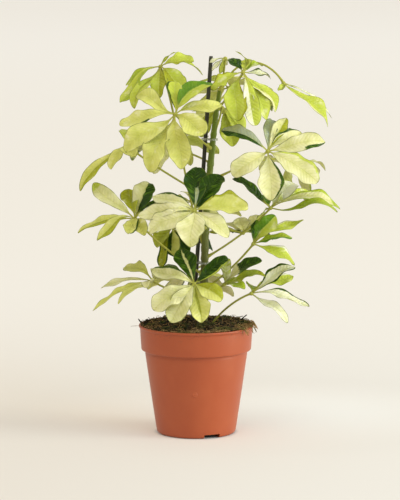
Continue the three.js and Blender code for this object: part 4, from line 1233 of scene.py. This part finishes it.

# %% [markdown]
# ## Floor and light
#
# The plant stands on a plain warm-white paper that fills the whole view, so there is no line
# between floor and wall. A weak even sky fills the shadows, and three lights show in the picture.
# A soft warm light in front, above and a little to the left gives most of the brightness, and its
# shadow falls behind the pot. A wide cool window stands to the right and in front, and a lower
# warm panel to the right. These two brighten the right side of the pot and throw the fan-shaped
# shadow to the left.
#
# The paper's glow is painted light. It glows faintly and warm, so that the fan-shaped shadow stays
# warm and pale; a little more beside the pot, where it paints away the contact shadow round the
# foot; and not at all under it, so that the mouth of the drain channel stays dark. Its grey is
# painted light as well: lighter to the right and far off, changing slowly over decimetres and metres.

# %% Stage
FLOOR_HALF = 30000  # mm, so that the floor reaches past the top of the view
UNDER_FOOT, PAST_FOOT = 0.039, 0.045  # metres from the pot's axis, where the glow begins
GLOW_X, GLOW_Y, GLOW_SQUASH = 0.07, 0.1, 1.3  # the middle of the glow, and its width over its depth
GLOW_REACH, GLOW_HEART = 0.28, 0.05  # metres from its middle, where it ends and where it is full
EVEN_GLOW, MORE_GLOW = 0.19, 0.11
corners = np.array([(-1, -1, 0), (1, -1, 0), (1, 1, 0), (-1, 1, 0)]) * FLOOR_HALF
floor = placed("floor", new_mesh("floor", corners, [(0, 1, 2, 3)]))
paper, tree, shader = new_finish("matt_backdrop_paper", Roughness=0.9)
place = add(tree, "TexCoord").outputs["Object"]
x, y = add(tree, "SeparateXYZ", {0: place}).outputs[:2]
# Painted light: the paper's grey is lighter to the right and farther off.
painted_light_to_right, painted_light_far_off, painted_light_very_far = (
    add(tree, "MapRange", {0: way, 1: low, 2: high}, **SOFTLY)
    for way, low, high in ((x, -0.25, 0.25), (y, -0.1, 1.1), (y, 1.5, 9.0))
)
shade = "#CBCCC7"
for share, towards in ((painted_light_to_right, "#D2D6D4"), (painted_light_far_off, "#D5D8D5"), (painted_light_very_far, "#DDE3E4")):
    shade = add(tree, "Mix", {0: share, 6: shade, 7: towards}, **COLOURS)
# Painted light: the paper glows, evenly and more beside the pot, where it paints away the contact
# shadow, and not under the pot.
off_axis = add(tree, "VectorMath", {0: place}, operation="LENGTH")
bare = add(tree, "MapRange", {0: off_axis, 1: UNDER_FOOT, 2: PAST_FOOT})
glow_place = {"Location": (-GLOW_X, -GLOW_Y * GLOW_SQUASH, 0), "Scale": (1, GLOW_SQUASH, 1)}
shifted = add(tree, "Mapping", {"Vector": place, **glow_place})
beside = add(tree, "VectorMath", {0: shifted}, operation="LENGTH")
near = add(tree, "MapRange", {0: beside, 1: GLOW_REACH, 2: GLOW_HEART}, **SOFTLY)
glow = add(tree, "Math", {0: near, 1: MORE_GLOW, 2: EVEN_GLOW}, **TIMES_PLUS)
glow = add(tree, "Math", {0: glow, 1: bare}, **TIMES)
# Painted light: the glow is whiter to the right of the pot.
painted_whiter_glow = add(tree, "Math", {0: near, 1: painted_light_to_right}, **TIMES)
glow_colour = add(tree, "Mix", {0: painted_whiter_glow, 6: "#FFDBBC", 7: "#FFF3E6"}, **COLOURS)
plug(shader, {"Base Color": shade, "Emission Color": glow_colour, "Emission Strength": glow})
floor.data.materials.append(paper)
floor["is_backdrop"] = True

world = bpy.data.worlds.new("studio")
bpy.context.scene.world = world
world.use_nodes = True
plug(world.node_tree.nodes["Background"], {"Color": "#FFFAF1", "Strength": 0.50})


def lamp(name, kind, code, energy, place, target, **settings):
    """A light at a place, turned so that its -Z looks at the target."""
    light = bpy.data.lights.new(name, kind)
    light.color = linear(code)
    light.energy = energy
    for key, value in settings.items():
        setattr(light, key, value)
    made = placed(name, light)
    made.location = place
    back = unit(np.array(place) - np.array(target))
    made.rotation_euler = (np.arccos(back[2]), 0, np.arctan2(back[1], back[0]) + np.pi / 2)


SOFTBOX_ANGLE = np.radians(80)
WINDOW = {"shape": "RECTANGLE", "size": 16, "size_y": 11}
lamp("front_softbox", "SUN", "#FFF8EC", 1.33, (-0.38, -0.85, 1.6), (0, 0, 0), angle=SOFTBOX_ANGLE)
lamp("window", "AREA", "#BEE0FF", 1400, (13.5, -9.3, 10), (0, 0, 10), **WINDOW)
lamp("side_panel", "AREA", "#FAF6E2", 1160, (11.6, -2.4, 2.4), (0, 0, 0.12), size=6)
bpy.context.scene.view_settings.view_transform = "Standard"

# %% [markdown]
# ## Size
#
# Both boxes are printed: the frame's, and the one round the finer pieces. The finer pieces must
# not make the plant bigger than its frame.

# %% Write the sizes and finish
low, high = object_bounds()
frame_size, dressed = cad_high - cad_low, high - low
print("frame box:", [round(v, 4) for v in frame_size], "dressed:", [round(v, 4) for v in dressed])
